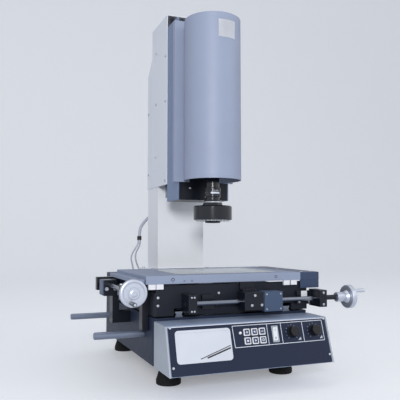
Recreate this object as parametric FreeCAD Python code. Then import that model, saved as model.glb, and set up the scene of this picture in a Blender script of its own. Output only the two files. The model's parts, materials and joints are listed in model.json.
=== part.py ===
import FreeCAD, Part
import math
import os
from FreeCAD import Placement, Rotation, Vector

# Bench video measuring machine: cast base with a control box, XY stage, column and camera head.
# Millimetres, +Z up, +X to the operator's right, the operator stands at -Y.
# X = 0, Y = 0 is the optical axis. Heights below are above the bench. As each piece is
# written it moves down by stage_height, so the origin is the centre of the stage glass's top.

os.makedirs("parts", exist_ok=True)

# Clearances
face_gap = 0.3          # between faces that must not touch
running_gap = 0.06      # radial, shaft in bearing
passing_gap = 1.5       # between flat pieces that slide past each other
travel_gap = 3.0        # under the saddle's skirt and beside the rails

# Stage
stage_above_deck = 75.0
table_left = -173.0
table_right = 139.0
table_overhang = 5.0
table_thickness = 15.0
table_edge_chamfer = 1.0
glass_length = 210.0
glass_width = 160.0
glass_thickness = 8.0
glass_ledge = 10.0
glass_corner = 6.0
end_block_length = 42.0
end_block_drop = 16.0
end_tongue_thickness = 3.0
left_cover_length = 15.0
left_cover_thickness = 7.0
left_cover_raise = 1.5
scale_block_width = 13.0
scale_block_height = 9.0
scale_block_thickness = 5.0
scale_block_left = (-169.0, -154.5, 101.0, 117.0)

# Guides: a rail with a runner that straddles it
rail_width = 14.0
rail_height = 10.0
rail_waist = 1.5
rail_lip = 2.0
runner_width = 24.0
runner_length = 30.0
runner_foot_gap = 2.0
guide_height = 16.0
x_rail_y = 82.0
x_rail_length = 296.0
x_runner_x = 55.0
y_rail_x = 110.0
y_rail_front = -103.0
y_rail_rear = 152.0
y_runner_y = 38.0

# Saddle
saddle_width = 314.0
saddle_half_depth = 105.0
saddle_thickness = 28.0
saddle_lip_height = 13.0
saddle_lip = 8.0
saddle_skirt = 12.0
saddle_corner = 3.0
window_half_x = 60.0
window_half_y = 66.0
window_corner = 12.0

# Base
foot_height = 41.0
base_width = 314.0
base_front = -105.0
base_rear = 289.0
base_corner = 8.0
base_wall = 9.0
deck_plate = 11.0
base_rib_y = 150.0
deck_step = 4.6           # from the control box's top up to the deck
pedestal_front = 180.0
pedestal_height = 183.0
light_well_radius = 42.0
light_well_clearance = 19.0
light_well_wall = 7.0
light_glass_thickness = 4.0
light_ledge = 3.0
light_tube_wall = 4.0
light_floor = 6.0
foot_x = 117.0
foot_front_y = -67.0
foot_rear_y = 262.0
foot_top_radius = 15.0
foot_bottom_radius = 23.0
foot_rim = 8.0
foot_round = 1.5
foot_boss_radius = 14.0
carry_rod_radius = 6.6
carry_rod_left = -250.0
carry_rod_grip = 42.0
carry_rod_height = 89.0
carry_rod_front_y = -39.5
carry_rod_rear_y = 225.5
carry_rod_chamfer = 1.5
carry_boss_radius = 13.0

# Column
column_half_width = 57.0
column_wall = 9.0
column_front = 192.5
column_rear = 273.0
column_height = 774.0
set_back_drop = 69.0
set_back_rise = 37.0
set_back_depth = 35.0
flange_half_width = 78.0
flange_front = 185.0
flange_rear = 285.0
flange_thickness = 9.0
flange_corner = 3.0
column_bolt_inset = 10.0
panel_sheet = 2.0
panel_front = 124.0
panel_bottom = 385.0
rear_cover_start = 6.0
top_cover_front = 128.0

# Head
head_half_width = 58.7
head_front = 50.0
head_rear = 121.0
head_bottom = 346.0
head_core_top = 731.0
head_back_top = 762.0
head_side_top = 743.0
head_side_sheet = 3.0
head_side_corner = 6.0
carriage_wall = 8.0
carriage_front_wall = 12.0
slide_half_width = 50.0
slide_rear = 163.0
slide_plate = 12.0
slide_bottom = 392.0
slide_top = 600.0
z_rail_x = 32.0
z_rail_depth = 12.0
z_rail_top_inset = 6.0
z_rail_bottom = 360.0
z_runner_rise = 20.0
z_runner_length = 46.0
z_runner_spacing = 120.0
z_runner_wall = 7.0
z_runner_foot_gap = 3.0
hood_radius = 59.0
hood_sheet = 2.0
hood_bottom = 383.5
hood_top = 719.0
hood_wing_half_width = 67.5
hood_wing_top = 731.0
hood_wing_return = 10.0
hood_back = 47.7
hood_lid_inset = 4.0
hood_stud_radius = 5.0
hood_stud_inset = 8.0
hood_stud_margin = 40.0

# Optics
barrel_radius = 14.0
barrel_top = 392.0
nose_radius = 15.7
nose_bottom = 296.0
nose_top = 303.0
nose_bore = 11.0
nose_depth = 3.0
zoom_ring_radius = 16.5
zoom_ring_bottom = 349.0
zoom_ring_top = 368.0
zoom_ring_seat = 1.0
zoom_ring_grooves = 30
zoom_body_radius = 21.0
zoom_body_top = 478.0
adapter_radius = 15.0
adapter_top = 500.0
camera_size = 46.0
camera_top = 566.0
camera_corner = 4.0
clamp_bottom = 408.0
clamp_top = 438.0
clamp_wall = 8.0
clamp_arm_half_width = 17.0
clamp_slit = 2.0
ring_light_radius = 39.5
ring_light_bottom = 302.0
ring_light_top = 331.0
ring_light_edge = 2.0
ring_light_neck_top = 343.0
ring_light_neck_radius = 17.0
ring_light_skirt_radius = 21.5
ring_light_recess = 5.0
ring_light_recess_radius = 36.5

# Drives: a smooth rod turned by a handwheel and gripped by a roller nut
drive_rod_radius = 4.0
x_drive_y = -125.0
x_drive_rise = 25.5
x_rod_left = -106.0
x_block_front = -143.0
x_block_below = 15.5
x_block_above = 16.5
x_left_bearing = -106.0
x_end_bearing = 161.0
x_bearing_length = 16.0
x_arm_left = 130.0
x_arm_thickness = 6.0
x_arm_margin = 3.0
x_guard_left = -68.0
x_guard_length = 23.0
x_nut_left = 2.0
x_nut_length = 38.0
x_nut_rear = -113.5
x_nut_below = 14.5
x_nut_above = 17.5
x_cover_left = 42.0
x_cover_length = 38.0
x_cover_below = 18.5
hanger_left = 8.0
hanger_length = 28.0
hanger_plate = 4.0
hanger_upright = 5.0
y_drive_x = -198.5
y_drive_rise = 47.0
y_nut_half = 13.5
y_nut_front = 54.0
y_nut_length = 33.0
y_nut_below = 21.0
y_block_above = 10.5
y_block_below = 17.0
y_block_left = 10.0
y_cover_thickness = 2.5
y_front_bearing = -75.0
y_front_bearing_length = 20.0
y_rear_bearing = 142.0
y_rear_bearing_length = 16.0
y_web = 13.0
y_leg_drop = 25.0
y_arm_start = 60.0
y_arm_below = 28.0
y_arm_height = 23.0
y_post_width = 14.0
y_post_left = -194.0
y_post_foot_drop = 28.0
y_post_foot_height = 22.0
z_drive_y = 210.0
z_drive_z = 520.0
z_roller_half_width = 8.0
z_bar_half_width = 7.0
z_bar_rear = 203.0
z_slot_bottom = 358.0
z_slot_top_inset = 50.0
z_shaft_left = -53.0
z_wheel_x = 82.0

# Handwheels
x_wheel_radius = 23.0
y_wheel_radius = 24.0
z_wheel_radius = 24.0
wheel_thickness = 11.0
wheel_edge = 2.0
wheel_dish = 1.5
wheel_rim = 4.5
hub_radius = 9.5
x_wheel_x = 234.0
x_hub_length = 24.0
y_wheel_gap = 3.5
crank_offset = 17.0
crank_pin_radius = 2.5
crank_radius = 3.6
crank_length = 24.0
crank_pin_short = 1.0
x_crank_angle = 45.0
y_crank_angle = 165.0
z_crank_angle = 180.0

# Control box
box_front_bottom = -192.0
box_front_top = -167.6
box_top = 119.4
box_half_width = 157.0
box_side_sheet = 3.0
box_wall = 4.0
box_depth = 90.0
panel_thickness = 2.5
panel_margin = 1.5
panel_corner = 2.0
plate_left = -142.0
plate_right = -41.5
plate_bottom = 20.0
plate_top = 74.0
plate_corner = 6.0
plate_thickness = 1.2
key_size = 12.0
key_pitch_x = 15.0
key_pitch_v = 14.8
key_first_x = -10.4
key_lower_v = 49.2
key_proud = 1.6
key_travel = 0.8
key_corner = 1.5
key_round = 0.5
key_skirt = 0.5
key_stem_radius = 2.5
key_stem = 2.5
rocker_x = 45.2
rocker_v = 57.8
rocker_width = 12.5
rocker_length = 28.5
rocker_rim = 1.8
rocker_frame_height = 1.2
rocker_end_gap = 0.6
rocker_low = 0.6
rocker_high = 3.0
rocker_depth = 3.0
knob_x = (80.0, 125.0)
knob_v = 59.0
knob_radius = 10.0
knob_height = 13.0
knob_lift = 0.5
knob_skirt = 3.0
knob_taper = 1.2
knob_shaft_radius = 3.0
knob_shaft_depth = 8.0
knob_flutes = 18
flute_radius = 1.1
pot_radius = 8.0
pot_depth = 11.0
board_thickness = 1.6
board_margin = 9.0
standoff_radius = 2.0
led_x = -23.0
led_v = 63.5
panel_led_radius = 2.5
led_proud = 1.5
panel_screw_inset = 3.0
panel_screw_v = (15.0, 79.0)

# Fasteners
cap_screw_radius = 3.5
cap_screw_height = 3.0
pan_screw_radius = 3.0
pan_screw_height = 1.6
panel_screw_radius = 2.0

# Cables behind the column
gland_x = -40.0
gland_height = 322.0
gland_radius = 9.0
gland_length = 14.0
sleeve_radius = 3.8
wire_radius = 2.0
splitter_radius = 5.6
socket_x = (-92.0, -48.0)
socket_radius = 11.0
socket_depth = 6.0
plug_radius = 8.0
plug_length = 16.0

# Values that follow from those above
deck_height = box_top + deck_step
stage_height = deck_height + stage_above_deck
table_bottom = stage_height - table_thickness
table_half_depth = saddle_half_depth + table_overhang
saddle_top = table_bottom - guide_height
saddle_bottom = saddle_top - saddle_thickness
skirt_bottom = deck_height + travel_gap
half_base = base_width / 2
half_saddle = saddle_width / 2
front_lane = -saddle_half_depth - passing_gap
light_well_depth = deck_height - foot_height - light_well_clearance
flange_top = pedestal_height + flange_thickness
set_back_top = column_height - set_back_drop
set_back_bottom = set_back_top - set_back_rise
z_rail_top = column_height - z_rail_top_inset
z_slot_top = column_height - z_slot_top_inset
x_drive_z = deck_height + x_drive_rise
x_block_bottom = x_drive_z - x_block_below
x_block_top = x_drive_z + x_block_above
x_nut_bottom = x_drive_z - x_nut_below
x_nut_top = x_drive_z + x_nut_above
x_cover_bottom = x_drive_z - x_cover_below
y_drive_z = deck_height + y_drive_rise
y_nut_bottom = y_drive_z - y_nut_below
y_block_top = y_drive_z + y_block_above
y_block_bottom = y_drive_z - y_block_below
y_leg_bottom = deck_height - y_leg_drop
y_arm_bottom = y_drive_z - y_arm_below
y_arm_top = y_arm_bottom + y_arm_height
y_post_foot_bottom = deck_height - y_post_foot_drop
y_wheel_rear = -table_half_depth - y_wheel_gap
z_roller_radius = z_drive_y - z_bar_rear - face_gap
box_slope = math.degrees(math.atan2(box_front_top - box_front_bottom, box_top - foot_height))
slope_length = math.hypot(box_front_top - box_front_bottom, box_top - foot_height)
core_half_width = box_half_width - box_side_sheet
carriage_half_width = head_half_width - head_side_sheet


# Helpers
def box(x0, x1, y0, y1, z0, z1):
    return Part.makeBox(x1 - x0, y1 - y0, z1 - z0, Vector(x0, y0, z0))


def rod(radius, start, end):
    axis = Vector(end) - Vector(start)
    return Part.makeCylinder(radius, axis.Length, Vector(start), axis)


def rounded_plate(x0, x1, y0, y1, z0, z1, radius):
    """A slab with rounded upright corners."""
    edges = []
    last = None
    first = None
    corners = [(x1 - radius, y1 - radius, 0), (x0 + radius, y1 - radius, 90),
               (x0 + radius, y0 + radius, 180), (x1 - radius, y0 + radius, 270)]
    for cx, cy, start in corners:
        points = []
        for turn in (0, 45, 90):
            angle = math.radians(start + turn)
            points.append(Vector(cx + radius * math.cos(angle), cy + radius * math.sin(angle), z0))
        if last is None:
            first = points[0]
        else:
            edges.append(Part.LineSegment(last, points[0]).toShape())
        edges.append(Part.Arc(*points).toShape())
        last = points[2]
    edges.append(Part.LineSegment(last, first).toShape())
    return Part.Face(Part.Wire(edges)).extrude(Vector(0, 0, z1 - z0))


def prism(points, direction):
    corners = [Vector(*point) for point in points]
    return Part.Face(Part.makePolygon(corners + corners[:1])).extrude(Vector(*direction))


def revolve(profile, base, axis, side):
    """Turn (distance along axis, radius) points about an axis through base."""
    axis = Vector(axis)
    side = Vector(side)
    corners = [Vector(base) + axis * along + side * radius for along, radius in profile]
    return Part.Face(Part.makePolygon(corners + corners[:1])).revolve(Vector(base), axis, 360)


def level_edges(shape, height):
    return [edge for edge in shape.Edges
            if abs(edge.BoundBox.ZMin - height) < 0.01 and abs(edge.BoundBox.ZMax - height) < 0.01]


def fuse(*shapes):
    result = shapes[0]
    for shape in shapes[1:]:
        result = result.fuse(shape)
    return result.removeSplitter()


def group(shapes):
    return Part.makeCompound(shapes)


def on_panel(shape):
    """Place a piece drawn flat (x, up the slope, out of the panel) on the sloped control panel."""
    placed = shape.copy()
    slope = Placement(Vector(0, box_front_bottom, foot_height), Rotation(Vector(1, 0, 0), 90 - box_slope))
    placed.Placement = slope.multiply(placed.Placement)
    return placed


def screw_head(radius, height, at, direction):
    """A screw head seated on a face, with a socket half as deep as the head."""
    at = Vector(at)
    direction = Vector(direction)
    head = rod(radius, at, at + direction * height)
    return head.cut(rod(radius * 0.5, at + direction * (height / 2), at + direction * height))


def save(name, shape):
    moved = shape.copy()
    moved.translate(Vector(0, 0, -stage_height))
    moved.exportStep("parts/" + name + ".step")
    print("%-22s solids %3d  volume %12.1f" % (name, len(moved.Solids), moved.Volume))


# Base
def foot_places():
    return [(x, y) for x in (-foot_x, foot_x) for y in (foot_front_y, foot_rear_y)]


def base_casting():
    """A casting open underneath, with bosses for the feet, lifting bars and contour light."""
    body = fuse(rounded_plate(-half_base, half_base, base_front, base_rear, foot_height, deck_height, base_corner),
                rounded_plate(-half_base, half_base, pedestal_front, base_rear,
                              deck_height, pedestal_height, base_corner))
    inner_x = half_base - base_wall
    inner_front = base_front + base_wall
    inner_rear = base_rear - base_wall
    deck_under = deck_height - deck_plate
    body = body.cut(box(-inner_x, inner_x, inner_front, inner_rear, foot_height, deck_under))
    body = body.cut(box(-inner_x, inner_x, pedestal_front + base_wall, inner_rear,
                        deck_under, pedestal_height - deck_plate))
    additions = [box(-inner_x, inner_x, base_rib_y, base_rib_y + base_wall, foot_height + deck_plate, deck_under)]
    for x, y in foot_places():
        roof = pedestal_height - deck_plate if y > pedestal_front else deck_under
        additions.append(rod(foot_boss_radius, (x, y, foot_height), (x, y, roof)))
    for y in (carry_rod_front_y, carry_rod_rear_y):
        additions.append(rod(carry_boss_radius, (-inner_x, y, carry_rod_height),
                             (-half_base + carry_rod_grip + base_wall, y, carry_rod_height)))
    well_bottom = deck_height - light_well_depth
    additions.append(rod(light_well_radius + light_well_wall, (0, 0, well_bottom - light_well_wall),
                         (0, 0, deck_under)))
    body = fuse(body, *additions)
    body = body.cut(rod(light_well_radius, (0, 0, well_bottom), (0, 0, deck_height)))
    body = body.cut(rod(light_well_radius + light_ledge, (0, 0, deck_height - light_glass_thickness),
                        (0, 0, deck_height)))
    for y in (carry_rod_front_y, carry_rod_rear_y):
        body = body.cut(rod(carry_rod_radius + running_gap, (-half_base, y, carry_rod_height),
                            (-half_base + carry_rod_grip, y, carry_rod_height)))
    return body


def rubber_feet():
    rim = foot_bottom_radius
    profile = [(0, 0), (0, rim - foot_round), (foot_round, rim), (foot_rim, rim),
               (foot_height - foot_rim, foot_top_radius), (foot_height, foot_top_radius), (foot_height, 0)]
    return group([revolve(profile, (x, y, 0), (0, 0, 1), (1, 0, 0)) for x, y in foot_places()])


def carry_rods():
    length = -half_base + carry_rod_grip - carry_rod_left
    r = carry_rod_radius
    c = carry_rod_chamfer
    profile = [(0, 0), (0, r - c), (c, r), (length, r), (length, 0)]
    return group([revolve(profile, (carry_rod_left, y, carry_rod_height), (1, 0, 0), (0, 0, 1))
                  for y in (carry_rod_front_y, carry_rod_rear_y)])


def contour_light():
    """The lamp cup under the stage: a floor, a cone and a tube that carries the glass."""
    bottom = deck_height - light_well_depth
    top = light_well_depth - light_glass_thickness
    outer = light_well_radius - face_gap
    inner = outer - light_tube_wall
    profile = [(0, 0), (0, outer), (top, outer), (top, inner), (2 * light_floor, inner),
               (light_floor, inner / 4), (light_floor, 0)]
    return revolve(profile, (0, 0, bottom), (0, 0, 1), (1, 0, 0))


def light_window():
    return rod(light_well_radius + light_ledge - face_gap, (0, 0, deck_height - light_glass_thickness),
               (0, 0, deck_height))


def rail_outline():
    half = rail_width / 2
    waist = half - rail_waist
    upper = rail_height - rail_lip
    right = [(half, 0), (half, rail_lip), (waist, rail_lip + rail_waist), (waist, upper - rail_waist),
             (half, upper), (half, rail_height)]
    return right + [(-across, up) for across, up in reversed(right)]


def runner_outline():
    half = runner_width / 2
    channel = rail_width / 2 + face_gap
    roof = rail_height + face_gap
    right = [(channel, roof), (channel, runner_foot_gap), (half, runner_foot_gap), (half, guide_height)]
    return right + [(-across, up) for across, up in reversed(right)]


def along_y(outline, x, front, bottom, length):
    return prism([(x + across, front, bottom + up) for across, up in outline], (0, length, 0))


def along_x(outline, y, left, bottom, length):
    return prism([(left, y + across, bottom + up) for across, up in outline], (length, 0, 0))


def z_rail(x):
    """A column rail: its back on the column's front, a groove in each flank."""
    half = rail_width / 2
    waist = half - rail_waist
    d = z_rail_depth
    right = [(half, 0), (half, d / 4), (waist, d / 4 + rail_waist), (half, d / 2), (half, d)]
    outline = right + [(-across, out) for across, out in reversed(right)]
    return prism([(x + across, column_front - out, z_rail_bottom) for across, out in outline],
                 (0, 0, z_rail_top - z_rail_bottom))


def fixed_rails():
    rails = [along_y(rail_outline(), x, y_rail_front, deck_height, y_rail_rear - y_rail_front)
             for x in (-y_rail_x, y_rail_x)]
    return group(rails + [z_rail(x) for x in (-z_rail_x, z_rail_x)])


# Saddle
def y_saddle():
    half = half_saddle
    deep = saddle_half_depth
    plate = rounded_plate(-half, half, -deep, deep, saddle_bottom, saddle_top, saddle_corner)
    skirt = rounded_plate(-half, half, -deep, deep, skirt_bottom, saddle_bottom, saddle_corner)
    skirt = skirt.cut(box(-half + saddle_skirt, half - saddle_skirt, -deep + saddle_skirt, deep - saddle_skirt,
                          skirt_bottom, saddle_bottom))
    tunnel = rail_width / 2 + travel_gap
    for x in (-y_rail_x, y_rail_x):
        skirt = skirt.cut(box(x - tunnel, x + tunnel, -deep, deep, skirt_bottom, saddle_bottom))
    lips = [box(-half + saddle_corner, half - saddle_corner, y, y + saddle_lip, saddle_top,
                saddle_top + saddle_lip_height) for y in (-deep, deep - saddle_lip)]
    window = rounded_plate(-window_half_x, window_half_x, -window_half_y, window_half_y,
                           saddle_bottom, saddle_top, window_corner)
    return fuse(plate, skirt, *lips).cut(window)


def saddle_guides():
    runners = [along_y(runner_outline(), x, y - runner_length / 2, deck_height, runner_length)
               for x in (-y_rail_x, y_rail_x) for y in (-y_runner_y, y_runner_y)]
    rails = [along_x(rail_outline(), y, -x_rail_length / 2, saddle_top, x_rail_length)
             for y in (-x_rail_y, x_rail_y)]
    return group(runners + rails)


def x_runners():
    return group([along_x(runner_outline(), y, x - runner_length / 2, saddle_top, runner_length)
                  for x in (-x_runner_x, x_runner_x) for y in (-x_rail_y, x_rail_y)])


# Table
def table_plate():
    plate = box(table_left, table_right, -table_half_depth, table_half_depth, table_bottom, stage_height)
    plate = plate.makeChamfer(table_edge_chamfer, level_edges(plate, stage_height))
    half_x = glass_length / 2
    half_y = glass_width / 2
    opening = rounded_plate(glass_ledge - half_x, half_x - glass_ledge, glass_ledge - half_y, half_y - glass_ledge,
                            table_bottom, stage_height, glass_corner)
    g = face_gap
    rebate = rounded_plate(-half_x - g, half_x + g, -half_y - g, half_y + g,
                           stage_height - glass_thickness, stage_height, glass_corner + g)
    return plate.cut(opening).cut(rebate)


def stage_glass():
    return rounded_plate(-glass_length / 2, glass_length / 2, -glass_width / 2, glass_width / 2,
                         stage_height - glass_thickness, stage_height, glass_corner)


def table_right_end():
    right = table_right + end_block_length
    block = box(table_right, right, -table_half_depth, table_half_depth, table_bottom, stage_height)
    block = block.makeChamfer(table_edge_chamfer, level_edges(block, stage_height))
    tongue = box(table_right, right, front_lane - end_tongue_thickness, front_lane,
                 table_bottom - end_block_drop, table_bottom)
    return fuse(block, tongue)


def table_left_cover():
    bottom = table_bottom + left_cover_raise
    return rounded_plate(table_left - left_cover_length, table_left, -table_half_depth + saddle_lip,
                         table_half_depth, bottom, bottom + left_cover_thickness, 2)


def scale_blocks():
    return group([box(x, x + scale_block_width, front_lane - scale_block_thickness, front_lane,
                      table_bottom - scale_block_height, table_bottom) for x in scale_block_left])


# X drive
def x_rod_bore(left, length):
    return rod(drive_rod_radius + running_gap, (left, x_drive_y, x_drive_z), (left + length, x_drive_y, x_drive_z))


def x_drive_brackets():
    """Both rod bearings on the saddle's front and the plate between them."""
    blocks = [box(left, left + x_bearing_length, x_block_front, -saddle_half_depth, x_block_bottom, x_block_top)
              for left in (x_left_bearing, x_end_bearing)]
    arm = box(x_arm_left, x_end_bearing, -saddle_half_depth - x_arm_thickness, -saddle_half_depth,
              x_block_bottom + x_arm_margin, x_block_top - x_arm_margin)
    end = fuse(blocks[1], arm).cut(x_rod_bore(x_end_bearing, x_bearing_length))
    guard = box(x_guard_left, x_guard_left + x_guard_length, -saddle_half_depth - x_arm_thickness,
                -saddle_half_depth, x_block_bottom + x_arm_margin, x_block_top - x_arm_margin)
    return group([blocks[0].cut(x_rod_bore(x_left_bearing, x_bearing_length)), end, guard])


def x_nut_block():
    body = box(x_nut_left, x_nut_left + x_nut_length, x_block_front, x_nut_rear, x_nut_bottom, x_nut_top)
    shelf = box(hanger_left, hanger_left + hanger_length, x_drive_y, front_lane,
                x_nut_top, x_nut_top + hanger_plate)
    upright = box(hanger_left, hanger_left + hanger_length, front_lane - hanger_upright, front_lane,
                  x_nut_top, table_bottom)
    return fuse(body, shelf, upright).cut(x_rod_bore(x_nut_left, x_nut_length))


def x_nut_cover():
    body = box(x_cover_left, x_cover_left + x_cover_length, x_block_front, x_nut_rear, x_cover_bottom, x_nut_top)
    neck = box(x_nut_left + x_nut_length, x_cover_left, x_block_front + x_arm_margin, x_nut_rear,
               x_nut_bottom + x_arm_margin, x_nut_top - x_arm_margin)
    return fuse(body, neck).cut(x_rod_bore(x_nut_left + x_nut_length, x_cover_length + travel_gap))


def x_drive_rod():
    return rod(drive_rod_radius, (x_rod_left, x_drive_y, x_drive_z), (x_wheel_x, x_drive_y, x_drive_z))


def crank_foot(base, axis, side, angle):
    """Where the crank grip starts: on the wheel's outer face, crank_offset from the axis."""
    axis = Vector(axis)
    across = Rotation(axis, angle).multVec(Vector(side))
    return Vector(base) + axis * wheel_thickness + across * crank_offset


def wheel(radius, base, axis, side, pin_angle):
    """A disc with eased rims and a shallow dish, and the pin that its crank grip turns on."""
    t = wheel_thickness
    e = wheel_edge
    dish = radius - wheel_rim
    profile = [(0, 0), (0, radius - e), (0.3 * e, radius - 0.3 * e), (e, radius), (t - e, radius),
               (t - 0.3 * e, radius - 0.3 * e), (t, radius - e), (t, dish), (t - wheel_dish, dish - wheel_dish),
               (t - wheel_dish, hub_radius + wheel_dish), (t, hub_radius), (t, 0)]
    disc = revolve(profile, base, axis, side)
    foot = crank_foot(base, axis, side, pin_angle)
    pin = rod(crank_pin_radius, foot - Vector(axis) * wheel_edge,
              foot + Vector(axis) * (crank_length - crank_pin_short))
    return fuse(disc, pin)


def crank_grip(base, axis, side, angle):
    """A turned grip that spins on the crank pin."""
    bore = crank_pin_radius + running_gap
    r = crank_radius
    profile = [(face_gap, bore), (face_gap, r - 0.6), (1.2, r), (4, r - 0.3), (crank_length * 0.6, r + 0.3),
               (crank_length - 1.5, r), (crank_length, r - 0.8), (crank_length, bore)]
    return revolve(profile, crank_foot(base, axis, side, angle), axis, side)


x_wheel_at = ((x_wheel_x, x_drive_y, x_drive_z), (1, 0, 0), (0, 0, 1))
y_wheel_at = ((y_drive_x, y_wheel_rear, y_drive_z), (0, -1, 0), (0, 0, 1))
z_wheel_at = ((z_wheel_x, z_drive_y, z_drive_z), (1, 0, 0), (0, 0, 1))


def x_handwheel():
    hub = [(-x_hub_length, 0), (-x_hub_length, hub_radius - 1), (1 - x_hub_length, hub_radius),
           (-hub_radius / 2, hub_radius), (0, hub_radius + travel_gap), (0, 0)]
    body = fuse(wheel(x_wheel_radius, *x_wheel_at, x_crank_angle), revolve(hub, *x_wheel_at))
    return body.cut(x_rod_bore(x_wheel_x - x_hub_length, x_hub_length))


def x_crank_grip():
    return crank_grip(*x_wheel_at, x_crank_angle)


# Y drive
def y_rod_bore(front, length):
    return rod(drive_rod_radius + running_gap, (y_drive_x, front, y_drive_z), (y_drive_x, front + length, y_drive_z))


def y_drive_brackets():
    """Front and rear rod bearings, both carried by the saddle's left side."""
    left = y_drive_x - y_block_left
    web_left = -half_saddle - y_web
    hang = -half_saddle - passing_gap
    front = y_front_bearing
    rear = front + y_front_bearing_length
    near = fuse(box(left, web_left, front, rear, y_block_bottom, y_block_top),
                box(web_left, -half_saddle, front, rear, skirt_bottom, y_block_top),
                box(web_left, hang, front, rear, y_leg_bottom, skirt_bottom))
    front = y_rear_bearing
    rear = front + y_rear_bearing_length
    far = fuse(box(left, hang, front, rear, y_block_bottom, y_block_top),
               box(web_left, -half_saddle, y_arm_start, saddle_half_depth, y_arm_bottom, y_arm_top),
               box(web_left, hang, saddle_half_depth, rear, y_arm_bottom, y_arm_top))
    return group([near.cut(y_rod_bore(y_front_bearing, y_front_bearing_length)),
                  far.cut(y_rod_bore(y_rear_bearing, y_rear_bearing_length))])


def y_nut_block():
    """The roller nut, on a post from the base's left side."""
    rear = y_nut_front + y_nut_length
    block = box(y_drive_x - y_nut_half, y_drive_x + y_nut_half, y_nut_front, rear, y_nut_bottom, y_block_top)
    front = y_nut_front + travel_gap
    rear = rear - travel_gap
    post = box(y_post_left, y_post_left + y_post_width, front, rear, y_post_foot_bottom, y_nut_bottom)
    foot = box(y_post_left + y_post_width, -half_base, front, rear, y_post_foot_bottom,
               y_post_foot_bottom + y_post_foot_height)
    return fuse(block, post, foot).cut(y_rod_bore(y_nut_front, y_nut_length))


def y_nut_cover():
    left = y_drive_x - y_nut_half
    return box(left - y_cover_thickness, left, y_nut_front, y_nut_front + y_nut_length,
               y_nut_bottom + 1, y_block_top)


def y_drive_rod():
    return rod(drive_rod_radius, (y_drive_x, y_wheel_rear, y_drive_z),
               (y_drive_x, y_rear_bearing + y_rear_bearing_length, y_drive_z))


def y_handwheel():
    return wheel(y_wheel_radius, *y_wheel_at, y_crank_angle)


def y_crank_grip():
    return crank_grip(*y_wheel_at, y_crank_angle)


# Column
def column_side(front, rear, bottom):
    """Side view of the column as (y, z): upright, with its upper rear set back."""
    step = rear - set_back_depth
    return [(front, bottom), (rear, bottom), (rear, set_back_bottom), (step, set_back_top),
            (step, column_height), (front, column_height)]


def column_post():
    """A hollow column on a bolted flange, open below and slotted in front for the Z drive bar."""
    half = column_half_width
    wall = column_wall
    post = prism([(-half, y, z) for y, z in column_side(column_front, column_rear, flange_top)], (2 * half, 0, 0))
    lower = box(-half + wall, half - wall, column_front + wall, column_rear - wall,
                pedestal_height, set_back_bottom - wall)
    upper = box(-half + wall, half - wall, column_front + wall, column_rear - set_back_depth - wall,
                set_back_bottom - wall, column_height - wall)
    flange = rounded_plate(-flange_half_width, flange_half_width, flange_front, flange_rear,
                           pedestal_height, flange_top, flange_corner)
    flange = flange.makeChamfer(table_edge_chamfer, level_edges(flange, flange_top))
    post = fuse(post, flange).cut(lower).cut(upper)
    slot_half = z_bar_half_width + passing_gap
    slot = box(-slot_half, slot_half, column_front, column_front + wall, z_slot_bottom, z_slot_top)
    bore = rod(drive_rod_radius + running_gap, (z_shaft_left, z_drive_y, z_drive_z), (half, z_drive_y, z_drive_z))
    return post.cut(slot).cut(bore)


def side_panel(sign):
    outline = column_side(panel_front, column_rear + panel_sheet, panel_bottom)
    return prism([(sign * column_half_width, y, z) for y, z in outline], (sign * panel_sheet, 0, 0))


def column_side_panels():
    right = side_panel(1)
    right = right.cut(rod(drive_rod_radius + face_gap, (column_half_width, z_drive_y, z_drive_z),
                          (column_half_width + panel_sheet, z_drive_y, z_drive_z)))
    return group([side_panel(-1), right])


def column_cover():
    """One bent sheet over the column's rear and top."""
    half = column_half_width
    bottom = flange_top + rear_cover_start
    outer = column_side(column_front, column_rear + panel_sheet, bottom)
    inner = column_side(column_front, column_rear, bottom)
    skin = prism([(-half, y, z) for y, z in outer], (2 * half, 0, 0))
    skin = skin.cut(prism([(-half, y, z) for y, z in inner], (2 * half, 0, 0)))
    top = box(-half, half, top_cover_front, column_rear + panel_sheet - set_back_depth,
              column_height, column_height + panel_sheet)
    return fuse(skin, top)


# Head
def z_runner(x, bottom):
    channel = rail_width / 2 + face_gap
    outer = rail_width / 2 + z_runner_wall
    roof = column_front - z_rail_depth - face_gap
    low = column_front - z_runner_foot_gap
    right = [(channel, roof), (channel, low), (outer, low), (outer, slide_rear)]
    outline = right + [(-across, y) for across, y in reversed(right)]
    return prism([(x + across, y, bottom) for across, y in outline], (0, 0, z_runner_length))


def z_slide():
    """The slide behind the head: a box open in front, four runners and the drive bar."""
    half = slide_half_width
    inner = half - carriage_wall
    body = box(-half, half, head_rear, slide_rear, slide_bottom, slide_top)
    body = body.cut(box(-inner, inner, head_rear, slide_rear - slide_plate,
                        slide_bottom + carriage_wall, slide_top - carriage_wall))
    bar = box(-z_bar_half_width, z_bar_half_width, slide_rear, z_bar_rear, slide_bottom, slide_top)
    runners = [z_runner(x, slide_bottom + z_runner_rise + step)
               for x in (-z_rail_x, z_rail_x) for step in (0, z_runner_spacing)]
    return fuse(body, bar, *runners)


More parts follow.
